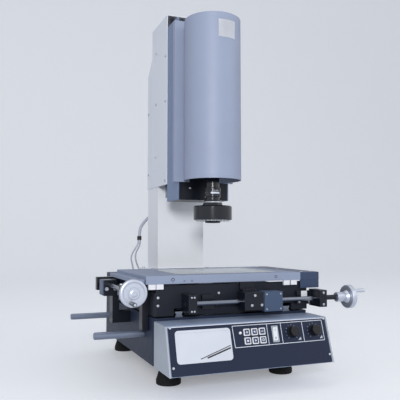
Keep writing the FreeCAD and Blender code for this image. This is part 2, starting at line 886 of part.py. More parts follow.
def head_carriage():
    """The carriage box, open at its back, with a lip above its rear edge and the lens clamp on its front."""
    half = carriage_half_width
    inner = half - carriage_wall
    body = box(-half, half, head_front, head_rear, head_bottom, head_core_top)
    body = body.cut(box(-inner, inner, head_front + carriage_front_wall, head_rear,
                        head_bottom + carriage_wall, head_core_top - carriage_wall))
    lip = box(-half, half, head_rear - carriage_wall, head_rear, head_core_top - carriage_wall, head_back_top)
    outer = zoom_body_radius + clamp_wall
    collar = rod(outer, (0, 0, clamp_bottom), (0, 0, clamp_top))
    arm = box(-clamp_arm_half_width, clamp_arm_half_width, 0, head_front, clamp_bottom, clamp_top)
    body = fuse(body, lip, collar, arm)
    body = body.cut(rod(zoom_body_radius + running_gap, (0, 0, clamp_bottom), (0, 0, clamp_top)))
    return body.cut(box(-outer, 0, -clamp_slit / 2, clamp_slit / 2, clamp_bottom, clamp_top))


def head_side_sheets():
    c = head_side_corner
    outline = [(head_front, head_bottom), (head_rear, head_bottom), (head_rear, head_side_top),
               (head_front + c, head_side_top), (head_front, head_side_top - c)]
    return group([prism([(sign * carriage_half_width, y, z) for y, z in outline], (sign * head_side_sheet, 0, 0))
                  for sign in (-1, 1)])


def hood_seam(radius):
    """Half the width of the hood's bowed front where it meets the wings."""
    return math.sqrt(radius ** 2 - (hood_back - hood_sheet) ** 2)


def bow(radius, height):
    """The bowed front as an arc seen from above."""
    y = hood_back - hood_sheet
    return Part.Arc(Vector(-hood_seam(radius), y, height), Vector(0, -radius, height),
                    Vector(hood_seam(radius), y, height)).toShape()


def head_hood():
    """A sheet bent round the camera, with a flat wing at each side, a lid and mounting studs."""
    inner = hood_radius - hood_sheet
    seam = hood_back - hood_sheet
    ends = [Part.LineSegment(Vector(sign * hood_seam(hood_radius), seam, hood_bottom),
                             Vector(sign * hood_seam(inner), seam, hood_bottom)).toShape() for sign in (-1, 1)]
    outline = Part.Wire([bow(hood_radius, hood_bottom), ends[1], bow(inner, hood_bottom), ends[0]])
    skin = Part.Face(outline).extrude(Vector(0, 0, hood_top - hood_bottom))
    lid_height = hood_top - hood_lid_inset
    lid_chord = Part.LineSegment(Vector(-hood_seam(inner), seam, lid_height),
                                 Vector(hood_seam(inner), seam, lid_height)).toShape()
    lid = Part.Face(Part.Wire([bow(inner, lid_height), lid_chord])).extrude(Vector(0, 0, hood_sheet))
    pieces = [skin, lid]
    edge = hood_wing_half_width
    for sign in (-1, 1):
        near = sorted((sign * hood_seam(inner), sign * edge))
        pieces.append(box(near[0], near[1], seam, hood_back, hood_bottom, hood_wing_top))
        far = sorted((sign * (edge - hood_sheet), sign * edge))
        pieces.append(box(far[0], far[1], hood_back, hood_back + hood_wing_return, hood_bottom, hood_wing_top))
        x = sign * (hood_seam(hood_radius) + hood_stud_inset)
        for z in (hood_bottom + hood_stud_margin, (hood_bottom + hood_wing_top) / 2,
                  hood_wing_top - hood_stud_margin):
            pieces.append(rod(hood_stud_radius, (x, hood_back, z), (x, head_front, z)))
    return fuse(*pieces)


# Optics
def lens_barrel():
    """Zoom lens from its nose up to the camera adapter, with a seat for the zoom ring."""
    b = barrel_radius
    seat = b - zoom_ring_seat
    z = zoom_body_radius
    g = face_gap
    profile = [(nose_bottom, nose_bore), (nose_bottom, nose_radius - 0.8), (nose_bottom + 0.8, nose_radius),
               (nose_top, nose_radius), (nose_top, b), (zoom_ring_bottom - g, b), (zoom_ring_bottom - g, seat),
               (zoom_ring_top + g, seat), (zoom_ring_top + g, b), (barrel_top, b), (barrel_top, z - 2),
               (barrel_top + 2, z), (zoom_body_top - 2, z), (zoom_body_top, z - 2), (zoom_body_top, adapter_radius),
               (adapter_top, adapter_radius), (adapter_top, 0), (nose_bottom + nose_depth, 0),
               (nose_bottom + nose_depth, nose_bore)]
    return revolve(profile, (0, 0, 0), (0, 0, 1), (1, 0, 0))


def zoom_ring():
    bore = barrel_radius - zoom_ring_seat + running_gap
    r = zoom_ring_radius
    profile = [(zoom_ring_bottom, bore), (zoom_ring_bottom, r - 0.8), (zoom_ring_bottom + 0.8, r),
               (zoom_ring_top - 0.8, r), (zoom_ring_top, r - 0.8), (zoom_ring_top, bore)]
    body = revolve(profile, (0, 0, 0), (0, 0, 1), (1, 0, 0))
    grooves = []
    for step in range(zoom_ring_grooves):
        angle = 2 * math.pi * step / zoom_ring_grooves
        x = (r + 0.3) * math.cos(angle)
        y = (r + 0.3) * math.sin(angle)
        grooves.append(rod(0.8, (x, y, zoom_ring_bottom + 2), (x, y, zoom_ring_top - 8)))
    return body.cut(group(grooves))


def camera_body():
    half = camera_size / 2
    return rounded_plate(-half, half, -half, half, adapter_top, camera_top, camera_corner)


def ring_light():
    """The ring of surface lights: a dished underside and a neck that grips the barrel."""
    bore = barrel_radius + running_gap
    low = ring_light_bottom
    r = ring_light_radius
    roof = low + ring_light_recess
    profile = [(low, ring_light_recess_radius), (low, r - 0.5), (low + 0.5, r),
               (ring_light_top - ring_light_edge, r), (ring_light_top, r - ring_light_edge),
               (ring_light_top, ring_light_skirt_radius), (ring_light_neck_top, ring_light_neck_radius),
               (ring_light_neck_top, bore), (roof, bore), (roof, ring_light_recess_radius)]
    return revolve(profile, (0, 0, 0), (0, 0, 1), (1, 0, 0))


# Z drive
def z_handwheel():
    """Wheel, shaft and the roller that drives the slide's bar by friction."""
    shaft = rod(drive_rod_radius, (z_shaft_left, z_drive_y, z_drive_z), (z_wheel_x, z_drive_y, z_drive_z))
    roller = rod(z_roller_radius, (-z_roller_half_width, z_drive_y, z_drive_z),
                 (z_roller_half_width, z_drive_y, z_drive_z))
    hub = rod(hub_radius, (column_half_width + panel_sheet + passing_gap, z_drive_y, z_drive_z),
              (z_wheel_x, z_drive_y, z_drive_z))
    return fuse(wheel(z_wheel_radius, *z_wheel_at, z_crank_angle), shaft, roller, hub)


def z_crank_grip():
    return crank_grip(*z_wheel_at, z_crank_angle)


# Control box
def key_centres():
    return [(key_first_x + column * key_pitch_x, key_lower_v + row * key_pitch_v)
            for row in (1, 0) for column in range(3)]


def box_outline(half):
    outline = [(box_front_bottom, foot_height), (base_front, foot_height), (base_front, box_top),
               (box_front_top, box_top)]
    return [(half, y, z) for y, z in outline]


def control_box():
    """The sloped box on the base's front, open behind its panel, with the board and dimmers inside."""
    half = core_half_width
    core = prism(box_outline(-half), (2 * half, 0, 0))
    core = core.cut(on_panel(box(-half, half, -box_depth, slope_length + box_depth, -panel_thickness, box_depth)))
    w = box_wall
    cavity = on_panel(box(w - half, half - w, -box_depth, slope_length + box_depth, -box_depth, -panel_thickness))
    room = box(w - half, half - w, box_front_bottom, base_front - w, foot_height + w, box_top - w)
    core = core.cut(cavity.common(room))
    board_top = -panel_thickness - key_skirt - key_stem - key_travel - face_gap
    left = key_first_x - board_margin
    right = key_first_x + 2 * key_pitch_x + board_margin
    low = key_lower_v - board_margin
    high = key_lower_v + key_pitch_v + board_margin
    board = box(left, right, low, high, board_top - board_thickness, board_top)
    posts = [rod(standoff_radius, (x, v, board_top), (x, v, -panel_thickness))
             for x in (left + standoff_radius, right - standoff_radius)
             for v in (low + standoff_radius, high - standoff_radius)]
    dimmers = []
    for x in knob_x:
        body = rod(pot_radius, (x, knob_v, -panel_thickness - pot_depth), (x, knob_v, -panel_thickness))
        depth = panel_thickness + knob_shaft_depth + face_gap
        dimmers.append(body.cut(rod(knob_shaft_radius + running_gap, (x, knob_v, -depth),
                                    (x, knob_v, -panel_thickness))))
    return group([core, on_panel(fuse(board, *posts))] + [on_panel(body) for body in dimmers])


def box_sides():
    return group([prism(box_outline(sign * core_half_width), (sign * box_side_sheet, 0, 0)) for sign in (-1, 1)])


def rocker_opening(gap, low, high):
    w = rocker_width / 2 - rocker_rim + gap
    h = rocker_length / 2 - rocker_rim + gap
    return rounded_plate(rocker_x - w, rocker_x + w, rocker_v - h, rocker_v + h, low, high, rocker_rim / 2)


def control_panel():
    t = panel_thickness
    plate = rounded_plate(panel_margin - core_half_width, core_half_width - panel_margin, panel_margin,
                          slope_length - panel_margin, -t, 0, panel_corner)
    half = key_size / 2 + face_gap
    holes = [rounded_plate(x - half, x + half, v - half, v + half, -t, 0, key_corner + face_gap)
             for x, v in key_centres()]
    holes += [rod(knob_shaft_radius + face_gap, (x, knob_v, -t), (x, knob_v, 0)) for x in knob_x]
    holes.append(rocker_opening(face_gap, -t, 0))
    holes.append(rod(panel_led_radius + running_gap, (led_x, led_v, -t), (led_x, led_v, 0)))
    return on_panel(plate.cut(group(holes)))


def name_plate():
    return on_panel(rounded_plate(plate_left, plate_right, plate_bottom, plate_top, 0, plate_thickness, plate_corner))


def key_cap(centre):
    x, v = centre
    half = key_size / 2
    low = -panel_thickness - key_skirt
    cap = rounded_plate(x - half, x + half, v - half, v + half, low, key_proud, key_corner)
    cap = cap.makeFillet(key_round, level_edges(cap, key_proud))
    return on_panel(fuse(cap, rod(key_stem_radius, (x, v, low - key_stem), (x, v, low))))


def rocker_frame():
    w = rocker_width / 2
    h = rocker_length / 2
    frame = rounded_plate(rocker_x - w, rocker_x + w, rocker_v - h, rocker_v + h, 0, rocker_frame_height, 1)
    return on_panel(frame.cut(rocker_opening(0, 0, rocker_frame_height)))


def rocker_switch():
    """A rocker pressed at its lower end."""
    w = rocker_width / 2 - rocker_rim - face_gap
    h = rocker_length / 2 - rocker_rim - face_gap - rocker_end_gap
    low = -panel_thickness - rocker_depth
    middle = (rocker_low + rocker_high) / 3
    outline = [(-h, low), (-h, rocker_low), (0, middle), (h, rocker_high), (h, low)]
    return on_panel(prism([(rocker_x - w, rocker_v + v, up) for v, up in outline], (2 * w, 0, 0)))


def dimmer_knob(x):
    r = knob_radius
    top = knob_height
    profile = [(knob_lift, 0), (knob_lift, r), (knob_skirt, r), (knob_skirt + 1, r - 0.6),
               (top - 1, r - knob_taper), (top, r - knob_taper - 1), (top, 0)]
    body = revolve(profile, (x, knob_v, 0), (0, 0, 1), (1, 0, 0))
    flutes = []
    for step in range(knob_flutes):
        angle = 2 * math.pi * step / knob_flutes
        fx = x + r * math.cos(angle)
        fv = knob_v + r * math.sin(angle)
        flutes.append(rod(flute_radius, (fx, fv, knob_skirt + 1), (fx, fv, top)))
    shaft = rod(knob_shaft_radius, (x, knob_v, -panel_thickness - knob_shaft_depth), (x, knob_v, knob_lift))
    return on_panel(fuse(body.cut(group(flutes)), shaft))


def power_led():
    body = rod(panel_led_radius, (led_x, led_v, -panel_thickness), (led_x, led_v, led_proud))
    dome = Part.makeSphere(panel_led_radius, Vector(led_x, led_v, led_proud), Vector(0, 0, 1), 0, 90, 360)
    return on_panel(fuse(body, dome))


def frame_screws():
    """Every fastener of the fixed frame: column flange, nut block, side panels and control panel."""
    screws = []
    for x in (column_bolt_inset - flange_half_width, flange_half_width - column_bolt_inset):
        for y in (flange_front + column_bolt_inset, flange_rear - column_bolt_inset):
            screws.append(screw_head(cap_screw_radius, cap_screw_height, (x, y, flange_top), (0, 0, 1)))
    for across, up in ((-8.5, -7), (8.5, -7)):
        at = (y_drive_x + across, y_nut_front, y_drive_z + up)
        screws.append(screw_head(cap_screw_radius, cap_screw_height, at, (0, -1, 0)))
    columns = ((column_front + 13, (0.185, 0.51, 0.83)), (column_rear - 8, (0.09, 0.48)),
               (panel_front + 10, (0.023, 0.49, 0.76)))
    for sign in (-1, 1):
        face = sign * (column_half_width + panel_sheet)
        for y, shares in columns:
            for share in shares:
                z = panel_bottom + share * (column_height - panel_bottom)
                screws.append(screw_head(pan_screw_radius, pan_screw_height, (face, y, z), (sign, 0, 0)))
        x = sign * (core_half_width - panel_margin - panel_screw_inset)
        for v in panel_screw_v:
            screws.append(on_panel(screw_head(panel_screw_radius, pan_screw_height, (x, v, 0), (0, 0, 1))))
    return group(screws)


# Cables
def tube_along(points, radius):
    """Straight runs joined by tangent arcs, each as large as its two runs allow."""
    corners = [Vector(*point) for point in points]
    edges = []
    radii = []
    last = corners[0]
    for before, corner, after in zip(corners, corners[1:], corners[2:]):
        into = corner - before
        away = after - corner
        turn = into.getAngle(away)
        reach = 0.45 * min(into.Length, away.Length)
        start = corner - into * (reach / into.Length)
        end = corner + away * (reach / away.Length)
        bend = reach / math.tan(turn / 2)
        radii.append(bend)
        inward = (start + end) * 0.5 - corner
        middle = corner + inward * ((bend / math.cos(turn / 2) - bend) / inward.Length)
        edges.append(Part.LineSegment(last, start).toShape())
        edges.append(Part.Arc(start, middle, end).toShape())
        last = end
    edges.append(Part.LineSegment(last, corners[-1]).toShape())
    path = Part.Wire(edges)
    outline = Part.Wire(Part.Circle(corners[0], corners[1] - corners[0], radius).toShape())
    tube = path.makePipeShell([outline], True, False)
    print("cable %.1f long, tightest bend %.1f" % (path.Length, min(radii)))
    return tube


cable_back = column_rear + panel_sheet + gland_length
sleeve_route = [(gland_x, cable_back, gland_height), (gland_x, 301, gland_height), (-46.5, 315.5, 315),
                (-57.5, 324.5, 300), (-64, 327, 285.5), (-64, 327, 270)]
signal_route = [(-67.2, 326.4, 260), (-67.2, 326.4, 251), (-73.5, 326.5, 240.5), (-82, 327, 228), (-86, 328, 213),
                (-81.5, 329, 197.5), (-78, 330, 180.5), (-80, 331, 163), (-85, 331.5, 146.5), (-89, 331.8, 130),
                (-92, 331.5, 119.5), (-92, 328.5, 111.5), (-92, 321.5, 107), (-92, 311, 107)]
light_route = [(-62, 326.4, 260), (-62, 326.4, 251), (-66.5, 328.5, 239), (-73, 330, 227), (-73.5, 331, 212),
               (-68, 332, 196), (-60, 332.5, 180), (-54, 332.5, 163), (-50, 332.3, 146), (-48.5, 332, 130.5),
               (-48, 331.5, 119.5), (-48, 328.5, 111.5), (-48, 321.5, 107), (-48, 311, 107)]


def cable_glands():
    """The gland in the column's rear cover and both sockets in the base's rear wall."""
    g = gland_length
    gland = [(0, 0), (0, gland_radius), (5, gland_radius), (6, gland_radius - 1.5), (g - 2, gland_radius - 2.5),
             (g, gland_radius - 3.5), (g, 0)]
    pieces = [revolve(gland, (gland_x, cable_back - gland_length, gland_height), (0, 1, 0), (1, 0, 0))]
    socket = [(0, 0), (0, socket_radius), (2.5, socket_radius), (2.5, plug_radius), (socket_depth, plug_radius),
              (socket_depth, 0)]
    height = signal_route[-1][2]
    for x in socket_x:
        pieces.append(revolve(socket, (x, base_rear, height), (0, 1, 0), (1, 0, 0)))
    return group(pieces)


def cable_plugs():
    """Both plugs and the splitter where the sleeve becomes two wires."""
    p = plug_radius
    n = plug_length
    plug = [(0, 0), (0, p), (9, p), (10, p - 1.5), (n - 1, wire_radius + 1.2), (n, wire_radius + 0.6), (n, 0)]
    pieces = [revolve(plug, (x, base_rear + socket_depth, signal_route[-1][2]), (0, 1, 0), (1, 0, 0))
              for x in socket_x]
    top = Vector(*sleeve_route[-1])
    bottom = (Vector(*signal_route[0]) + Vector(*light_route[0])) * 0.5
    pieces.append(rod(splitter_radius, Vector(bottom.x, bottom.y, top.z), bottom))
    return group(pieces)


makers = [base_casting, rubber_feet, carry_rods, contour_light, light_window, fixed_rails, y_nut_block,
          y_nut_cover, frame_screws, column_post, column_side_panels, column_cover, y_saddle, saddle_guides,
          x_drive_brackets, y_drive_brackets, x_drive_rod, x_handwheel, x_crank_grip, y_drive_rod, y_handwheel,
          y_crank_grip, table_plate, stage_glass, table_right_end, table_left_cover, scale_blocks, x_runners,
          x_nut_block, x_nut_cover, z_handwheel, z_crank_grip, z_slide, head_carriage, head_side_sheets,
          head_hood, lens_barrel, zoom_ring, camera_body, ring_light, control_box, box_sides, control_panel,
          name_plate, rocker_frame, rocker_switch, power_led, cable_glands, cable_plugs]
for maker in makers:
    save(maker.__name__, maker())
for number, centre in enumerate(key_centres(), 1):
    save("key_%d" % number, key_cap(centre))
for name, x in zip(("contour_knob", "surface_knob"), knob_x):
    save(name, dimmer_knob(x))
save("cable_sleeve", tube_along(sleeve_route, sleeve_radius))
save("signal_wire", tube_along(signal_route, wire_radius))
save("light_wire", tube_along(light_route, wire_radius))
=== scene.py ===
import json
import math

import bmesh
import bpy
from bpy.props import FloatProperty, FloatVectorProperty, IntProperty, PointerProperty
from mathutils import Matrix, Vector

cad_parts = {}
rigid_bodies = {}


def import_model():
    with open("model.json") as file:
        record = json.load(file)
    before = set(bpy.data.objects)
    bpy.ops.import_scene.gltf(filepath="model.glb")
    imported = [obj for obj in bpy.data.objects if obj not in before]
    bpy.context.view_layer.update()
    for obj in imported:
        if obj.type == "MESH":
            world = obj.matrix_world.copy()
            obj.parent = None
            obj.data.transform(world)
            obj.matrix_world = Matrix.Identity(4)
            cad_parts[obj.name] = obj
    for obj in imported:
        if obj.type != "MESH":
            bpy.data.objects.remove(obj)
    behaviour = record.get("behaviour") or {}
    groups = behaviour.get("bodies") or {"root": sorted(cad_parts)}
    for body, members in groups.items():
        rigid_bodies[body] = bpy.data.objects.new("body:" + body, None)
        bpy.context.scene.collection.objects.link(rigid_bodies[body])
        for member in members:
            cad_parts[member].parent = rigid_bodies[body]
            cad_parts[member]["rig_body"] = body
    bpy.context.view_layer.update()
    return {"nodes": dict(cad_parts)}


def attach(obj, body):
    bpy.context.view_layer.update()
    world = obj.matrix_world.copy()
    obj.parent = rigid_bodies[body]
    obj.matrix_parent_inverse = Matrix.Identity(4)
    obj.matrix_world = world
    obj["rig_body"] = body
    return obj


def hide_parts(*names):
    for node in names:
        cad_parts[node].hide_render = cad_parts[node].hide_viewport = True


bl_info = {
    "name": "Video measuring machine",
    "version": (1, 0, 0),
    "blender": (4, 5, 0),
    "location": "3D View > Sidebar > Measuring machine",
    "description": "Finishes and fine detail of a bench video measuring machine",
    "category": "Object",
}

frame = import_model()

# The part's source works in millimetres above the bench; the frame's origin is the glass's top
STAGE_HEIGHT = 199.0
BENCH = -STAGE_HEIGHT / 1000
PANEL_SLOPE = math.degrees(math.atan2(24.4, 78.4))


def at(x, y, z):
    """A point in millimetres above the bench, as a point in the frame."""
    return Vector((x, y, z - STAGE_HEIGHT)) / 1000


# Local millimetres on the sloped panel: x, up the slope, out of the panel
PANEL = (Matrix.Translation(at(0, -192, 41)) @ Matrix.Rotation(math.radians(90 - PANEL_SLOPE), 4, "X")
         @ Matrix.Scale(0.001, 4))

# The middle of each wheel's outer face, and the way that face looks
WHEEL_FACES = {
    "x_wheel": (at(245, -125, 149.5), (1, 0, 0)),
    "y_wheel": (at(-198.5, -124.5, 171), (0, -1, 0)),
    "z_wheel": (at(93, 210, 520), (1, 0, 0)),
}

# Radii in metres of the ring light's two rows of lamps, and the height of their seats in millimetres
OUTER_ROW, INNER_ROW = 0.0330, 0.0262
LAMP_SEAT = 306

# The angle in degrees above which an edge stays sharp, on the frame's own forms and on the added pieces
SHARP_EASED, SHARP_ADDED = 30.0, 35.0

# Bare metal that shows through rubbed black anodising
RUBBED_BLACK = (0.16, 0.18, 0.23)

# The camera solved from the photograph's edges, with its tilt and turn in degrees
CAMERA_PLACE = at(-446.54, -1046.14, 266.52)
CAMERA_TILT, CAMERA_TURN = 3.87, -21.8
FOCAL_LENGTH, SENSOR_WIDTH = 49.75, 36.0

# Name, place and size in metres, and power in watts of each light; all look at one point of the machine
LIGHTS = (("key", (-1.1, -2.6, 0.75), 0.6, 44.0), ("fill", (2.2, -1.6, 1.2), 1.6, 9.0),
          ("top", (0.1, 0.3, 2.6), 1.5, 6.0))
LIT_POINT = Vector((0, 0.05, 0.15))


def srgb(red, green, blue):
    """A colour read from a picture, 0 to 255, as Blender's linear colour."""
    return tuple(v / 3294.6 if v < 11 else ((v / 255 + 0.055) / 1.055) ** 2.4 for v in (red, green, blue))


def colour(label, red, green, blue):
    return FloatVectorProperty(name=label, description="Colour of the " + label.lower(), subtype="COLOR",
                               size=3, min=0.0, max=1.0, default=srgb(red, green, blue))


def length(label, description, millimetres):
    return FloatProperty(name=label, description=description, unit="LENGTH", subtype="DISTANCE",
                         default=millimetres / 1000, min=0.0)


class FinishColours(bpy.types.PropertyGroup):
    casting: colour("Castings", 24, 36, 60)
    # Saddle: its real black paint, made darker still as painted shadow from the table above it
    saddle: colour("Saddle", 20, 25, 36)
    column: colour("Column", 236, 239, 244)
    sheets: colour("Column side sheets", 228, 233, 242)
    hood: colour("Camera hood", 148, 158, 182)
    # A darker copy of the hood's blue: painted shade for the camera head's left-facing side sheets
    head_sides_shade: colour("Camera head side sheets", 112, 130, 164)
    box_top: colour("Control box top", 146, 162, 190)
    box_sides: colour("Control box side sheets", 168, 177, 189)
    panel: colour("Control panel", 27, 36, 58)
    black: colour("Black anodised parts", 16, 20, 31)
    table: colour("Table plate", 142, 153, 176)
    lift_bars: colour("Lifting bars", 118, 128, 148)
    table_end: colour("Table right end", 42, 58, 88)
    rods: colour("Ground rods", 128, 134, 146)
    wheels: colour("Handwheels", 190, 196, 209)
    plate: colour("Name plate", 204, 209, 219)
    rubber: colour("Rubber feet", 9, 10, 14)
    cable: colour("Cable sheath", 176, 181, 194)
    print_white: colour("White print", 216, 222, 234)
    print_black: colour("Black print", 22, 24, 34)
    moulding_white: colour("White mouldings", 226, 228, 234)
    moulding_black: colour("Black mouldings", 12, 13, 18)
    key_windows: colour("Key windows", 48, 58, 88)
    nut_covers: colour("Nut covers", 56, 74, 102)
    labels: colour("Bare labels", 244, 247, 252)
    screws: colour("Screws", 190, 194, 202)
    lamps: colour("Lamps", 232, 235, 240)
    floor: colour("Floor", 232, 234, 238)


class DetailSizes(bpy.types.PropertyGroup):
    casting_edge: length("Casting edge", "Radius of the castings' edges", 1.2)
    sheet_edge: length("Sheet edge", "Radius of the bent and cut sheets' edges", 0.5)
    machined_edge: length("Machined edge", "Width of the eased edges of machined blocks", 0.6)
    plate_edge: length("Plate edge", "Radius of the table plate's edges", 0.4)
    print_line: length("Printed line", "Width of the lines printed on the panel", 1.0)
    lamp_radius: length("Lamp radius", "Radius of one lamp of the ring light", 2.5)
    outer_lamps: IntProperty(name="Outer lamps", description="Lamps in the ring light's outer row",
                             default=26, min=3, max=60)
    inner_lamps: IntProperty(name="Inner lamps", description="Lamps in the ring light's inner row",
                             default=18, min=3, max=60)
    casting_grain: length("Casting grain", "Size of the grain of the castings' paint", 1.1)
    coat_grain: length("Coat grain", "Size of the powder coat's grain", 1.6)


# Shader node groups
def node(tree, kind, inputs=None, **settings):
    made = tree.nodes.new("ShaderNode" + kind)
    for name, value in settings.items():
        setattr(made, name, value)
    for name, value in (inputs or {}).items():
        if isinstance(value, bpy.types.NodeSocket):
            tree.links.new(value, made.inputs[name])
        else:
            made.inputs[name].default_value = value
    return made


def maths(tree, operation, first, second=0.5):
    return node(tree, "Math", {0: first, 1: second}, operation=operation).outputs[0]


def ramp(tree, value, low, high, start=0.0, end=1.0):
    made = node(tree, "MapRange", {"Value": value, "From Min": low, "From Max": high, "To Min": start,
                                   "To Max": end}, clamp=True)
    return made.outputs["Result"]


def mix(tree, factor, first, second, blend="MIX"):
    made = node(tree, "Mix", {0: factor, 6: first, 7: second}, data_type="RGBA", blend_type=blend)
    return made.outputs[2]


def noise(tree, vector, scale, detail=2.0, distortion=0.0):
    return node(tree, "TexNoise", {"Vector": vector, "Scale": scale, "Detail": detail,
                                   "Distortion": distortion}).outputs["Fac"]


def effect(name, inputs, outputs):
    """An empty node group with named sockets; returns its tree, input node and output node."""
    tree = bpy.data.node_groups.new(name, "ShaderNodeTree")
    for label, kind, value in inputs:
        socket = tree.interface.new_socket(label, in_out="INPUT", socket_type="NodeSocket" + kind)
        socket.default_value = value
    for label, kind in outputs:
        tree.interface.new_socket(label, in_out="OUTPUT", socket_type="NodeSocket" + kind)
    return tree, tree.nodes.new("NodeGroupInput").outputs, tree.nodes.new("NodeGroupOutput").inputs


def coat_skin_group():
    """Paint: slightly cloudy colour, smudged roughness and a fine pebbled surface."""
    tree, given, result = effect("Coat skin", [
        ("Colour", "Color", (0.5, 0.5, 0.5, 1)), ("Clouding", "Float", 0.04), ("Roughness", "Float", 0.45),
        ("Smudging", "Float", 0.12), ("Grain per metre", "Float", 600.0)],
        [("Colour", "Color"), ("Roughness", "Float"), ("Height", "Float")])
    place = node(tree, "TexCoord").outputs["Object"]
    clouds = noise(tree, place, 11.0, 4.0, 0.6)
    shade = maths(tree, "MULTIPLY", maths(tree, "SUBTRACT", clouds, 0.5), given["Clouding"])
    lift = maths(tree, "ADD", maths(tree, "MULTIPLY", shade, 4.0), 1.0)
    grey = node(tree, "CombineXYZ", {0: lift, 1: lift, 2: lift}).outputs[0]
    tree.links.new(mix(tree, 1.0, given["Colour"], grey, "MULTIPLY"), result["Colour"])
    smudge = maths(tree, "SUBTRACT", noise(tree, place, 38.0, 5.0, 1.2), 0.5)
    tree.links.new(maths(tree, "ADD", given["Roughness"], maths(tree, "MULTIPLY", smudge, given["Smudging"])),
                   result["Roughness"])
    pebbles = noise(tree, place, given["Grain per metre"], 3.0)
    tree.links.new(pebbles, result["Height"])
    return tree


def edge_rub_group():
    """Where hands and tools have rubbed an edge."""
    tree, given, result = effect("Edge rub", [
        ("Colour", "Color", (0.5, 0.5, 0.5, 1)), ("Rubbed colour", "Color", (0.7, 0.7, 0.7, 1)),
        ("Radius", "Float", 0.0008), ("Amount", "Float", 0.6)], [("Colour", "Color")])
    place = node(tree, "TexCoord").outputs["Object"]
    soft = node(tree, "Bevel", {"Radius": given["Radius"]}, samples=4).outputs[0]
    flat = node(tree, "NewGeometry").outputs["Normal"]
    along = node(tree, "VectorMath", {0: soft, 1: flat}, operation="DOT_PRODUCT").outputs["Value"]
    bend = ramp(tree, along, 0.985, 0.9)
    patches = ramp(tree, noise(tree, place, 140.0, 4.0, 0.8), 0.42, 0.62)
    mask = maths(tree, "MULTIPLY", maths(tree, "MULTIPLY", bend, patches), given["Amount"])
    tree.links.new(mix(tree, mask, given["Colour"], given["Rubbed colour"]), result["Colour"])
    return tree


def settled_dust_group():
    """Dust that lies on upward faces."""
    tree, given, result = effect("Settled dust", [
        ("Colour", "Color", (0.5, 0.5, 0.5, 1)), ("Roughness", "Float", 0.4), ("Amount", "Float", 0.15)],
        [("Colour", "Color"), ("Roughness", "Float")])
    place = node(tree, "TexCoord").outputs["Object"]
    up = node(tree, "SeparateXYZ", {0: node(tree, "NewGeometry").outputs["Normal"]}).outputs["Z"]
    specks = ramp(tree, noise(tree, place, 75.0, 6.0, 0.4), 0.35, 0.75)
    lying = maths(tree, "MULTIPLY", ramp(tree, up, 0.6, 0.98), specks)
    mask = maths(tree, "MULTIPLY", lying, given["Amount"])
    tree.links.new(mix(tree, mask, given["Colour"], (0.62, 0.61, 0.58, 1)), result["Colour"])
    tree.links.new(maths(tree, "ADD", given["Roughness"], maths(tree, "MULTIPLY", mask, 0.5)),
                   result["Roughness"])
    return tree


def drawn_grain_group():
    """Fine lines left by grinding or brushing; Stretch is smallest along the lines."""
    tree, given, result = effect("Drawn grain", [
        ("Stretch", "Vector", (8.0, 1500.0, 1500.0)), ("Roughness", "Float", 0.35), ("Spread", "Float", 0.2)],
        [("Roughness", "Float"), ("Height", "Float")])
    place = node(tree, "TexCoord").outputs["Object"]
    stretched = node(tree, "VectorMath", {0: place, 1: given["Stretch"]}, operation="MULTIPLY").outputs[0]
    lines = noise(tree, stretched, 1.0, 3.0)
    shift = maths(tree, "MULTIPLY", maths(tree, "SUBTRACT", lines, 0.5), given["Spread"])
    tree.links.new(maths(tree, "ADD", given["Roughness"], shift), result["Roughness"])
    tree.links.new(lines, result["Height"])
    return tree


def turned_rings_group():
    """Rings left by a lathe round a centre."""
    tree, given, result = effect("Turned rings", [
        ("Centre", "Vector", (0.0, 0.0, 0.0)), ("Rings per metre", "Float", 2600.0),
        ("Roughness", "Float", 0.3)], [("Roughness", "Float"), ("Height", "Float")])
    place = node(tree, "TexCoord").outputs["Object"]
    away = node(tree, "VectorMath", {0: place, 1: given["Centre"]}, operation="DISTANCE").outputs["Value"]
    along = maths(tree, "MULTIPLY", away, given["Rings per metre"])
    made = node(tree, "TexNoise", {"W": along, "Scale": 1.0, "Detail": 2.0}, noise_dimensions="1D")
    rings = made.outputs["Fac"]
    tree.links.new(maths(tree, "ADD", given["Roughness"], maths(tree, "MULTIPLY", rings, 0.18)),
                   result["Roughness"])
    tree.links.new(rings, result["Height"])
    return tree


effects = {}


def start_material(name):
    """A new material with its node tree and its shader."""
    made = bpy.data.materials.new(name)
    made.use_nodes = True
    tree = made.node_tree
    return made, tree, tree.nodes["Principled BSDF"]


def placed(tree, name, **inputs):
    """Put one of the effect groups in a tree; returns its outputs."""
    made = node(tree, "Group", node_tree=effects[name])
    for label, value in inputs.items():
        socket = made.inputs[label.replace("_", " ")]
        if isinstance(value, bpy.types.NodeSocket):
            tree.links.new(value, socket)
        else:
            socket.default_value = value
    return made.outputs


def rgba(base):
    return (*base[:3], 1.0)


def bump(tree, shader, height, depth):
    made = node(tree, "Bump", {"Height": height, "Distance": depth})
    tree.links.new(made.outputs[0], shader.inputs["Normal"])


def coated(name, base, roughness=0.45, clouding=0.04, grain=0.0016, depth=0.00004, rub=0.5, rubbed=None,
           dust=0.1, coat=0.0, specular=0.5):
    """Paint, powder coat or anodising: cloudy, pebbled, rubbed at its edges and dusty on top."""
    made, tree, shader = start_material(name)
    skin = placed(tree, "Coat skin", Colour=rgba(base), Clouding=clouding, Roughness=roughness,
                  Smudging=0.16, Grain_per_metre=1 / grain)
    lighter = rubbed or tuple(min(1.0, c * 1.5 + 0.06) for c in base[:3])
    worn = placed(tree, "Edge rub", Colour=skin["Colour"], Rubbed_colour=rgba(lighter), Amount=rub)
    dusty = placed(tree, "Settled dust", Colour=worn["Colour"], Roughness=skin["Roughness"], Amount=dust)
    tree.links.new(dusty["Colour"], shader.inputs["Base Color"])
    tree.links.new(dusty["Roughness"], shader.inputs["Roughness"])
    shader.inputs["Specular IOR Level"].default_value = specular
    shader.inputs["Coat Weight"].default_value = coat
    shader.inputs["Coat Roughness"].default_value = 0.25
    bump(tree, shader, skin["Height"], depth)
    return made


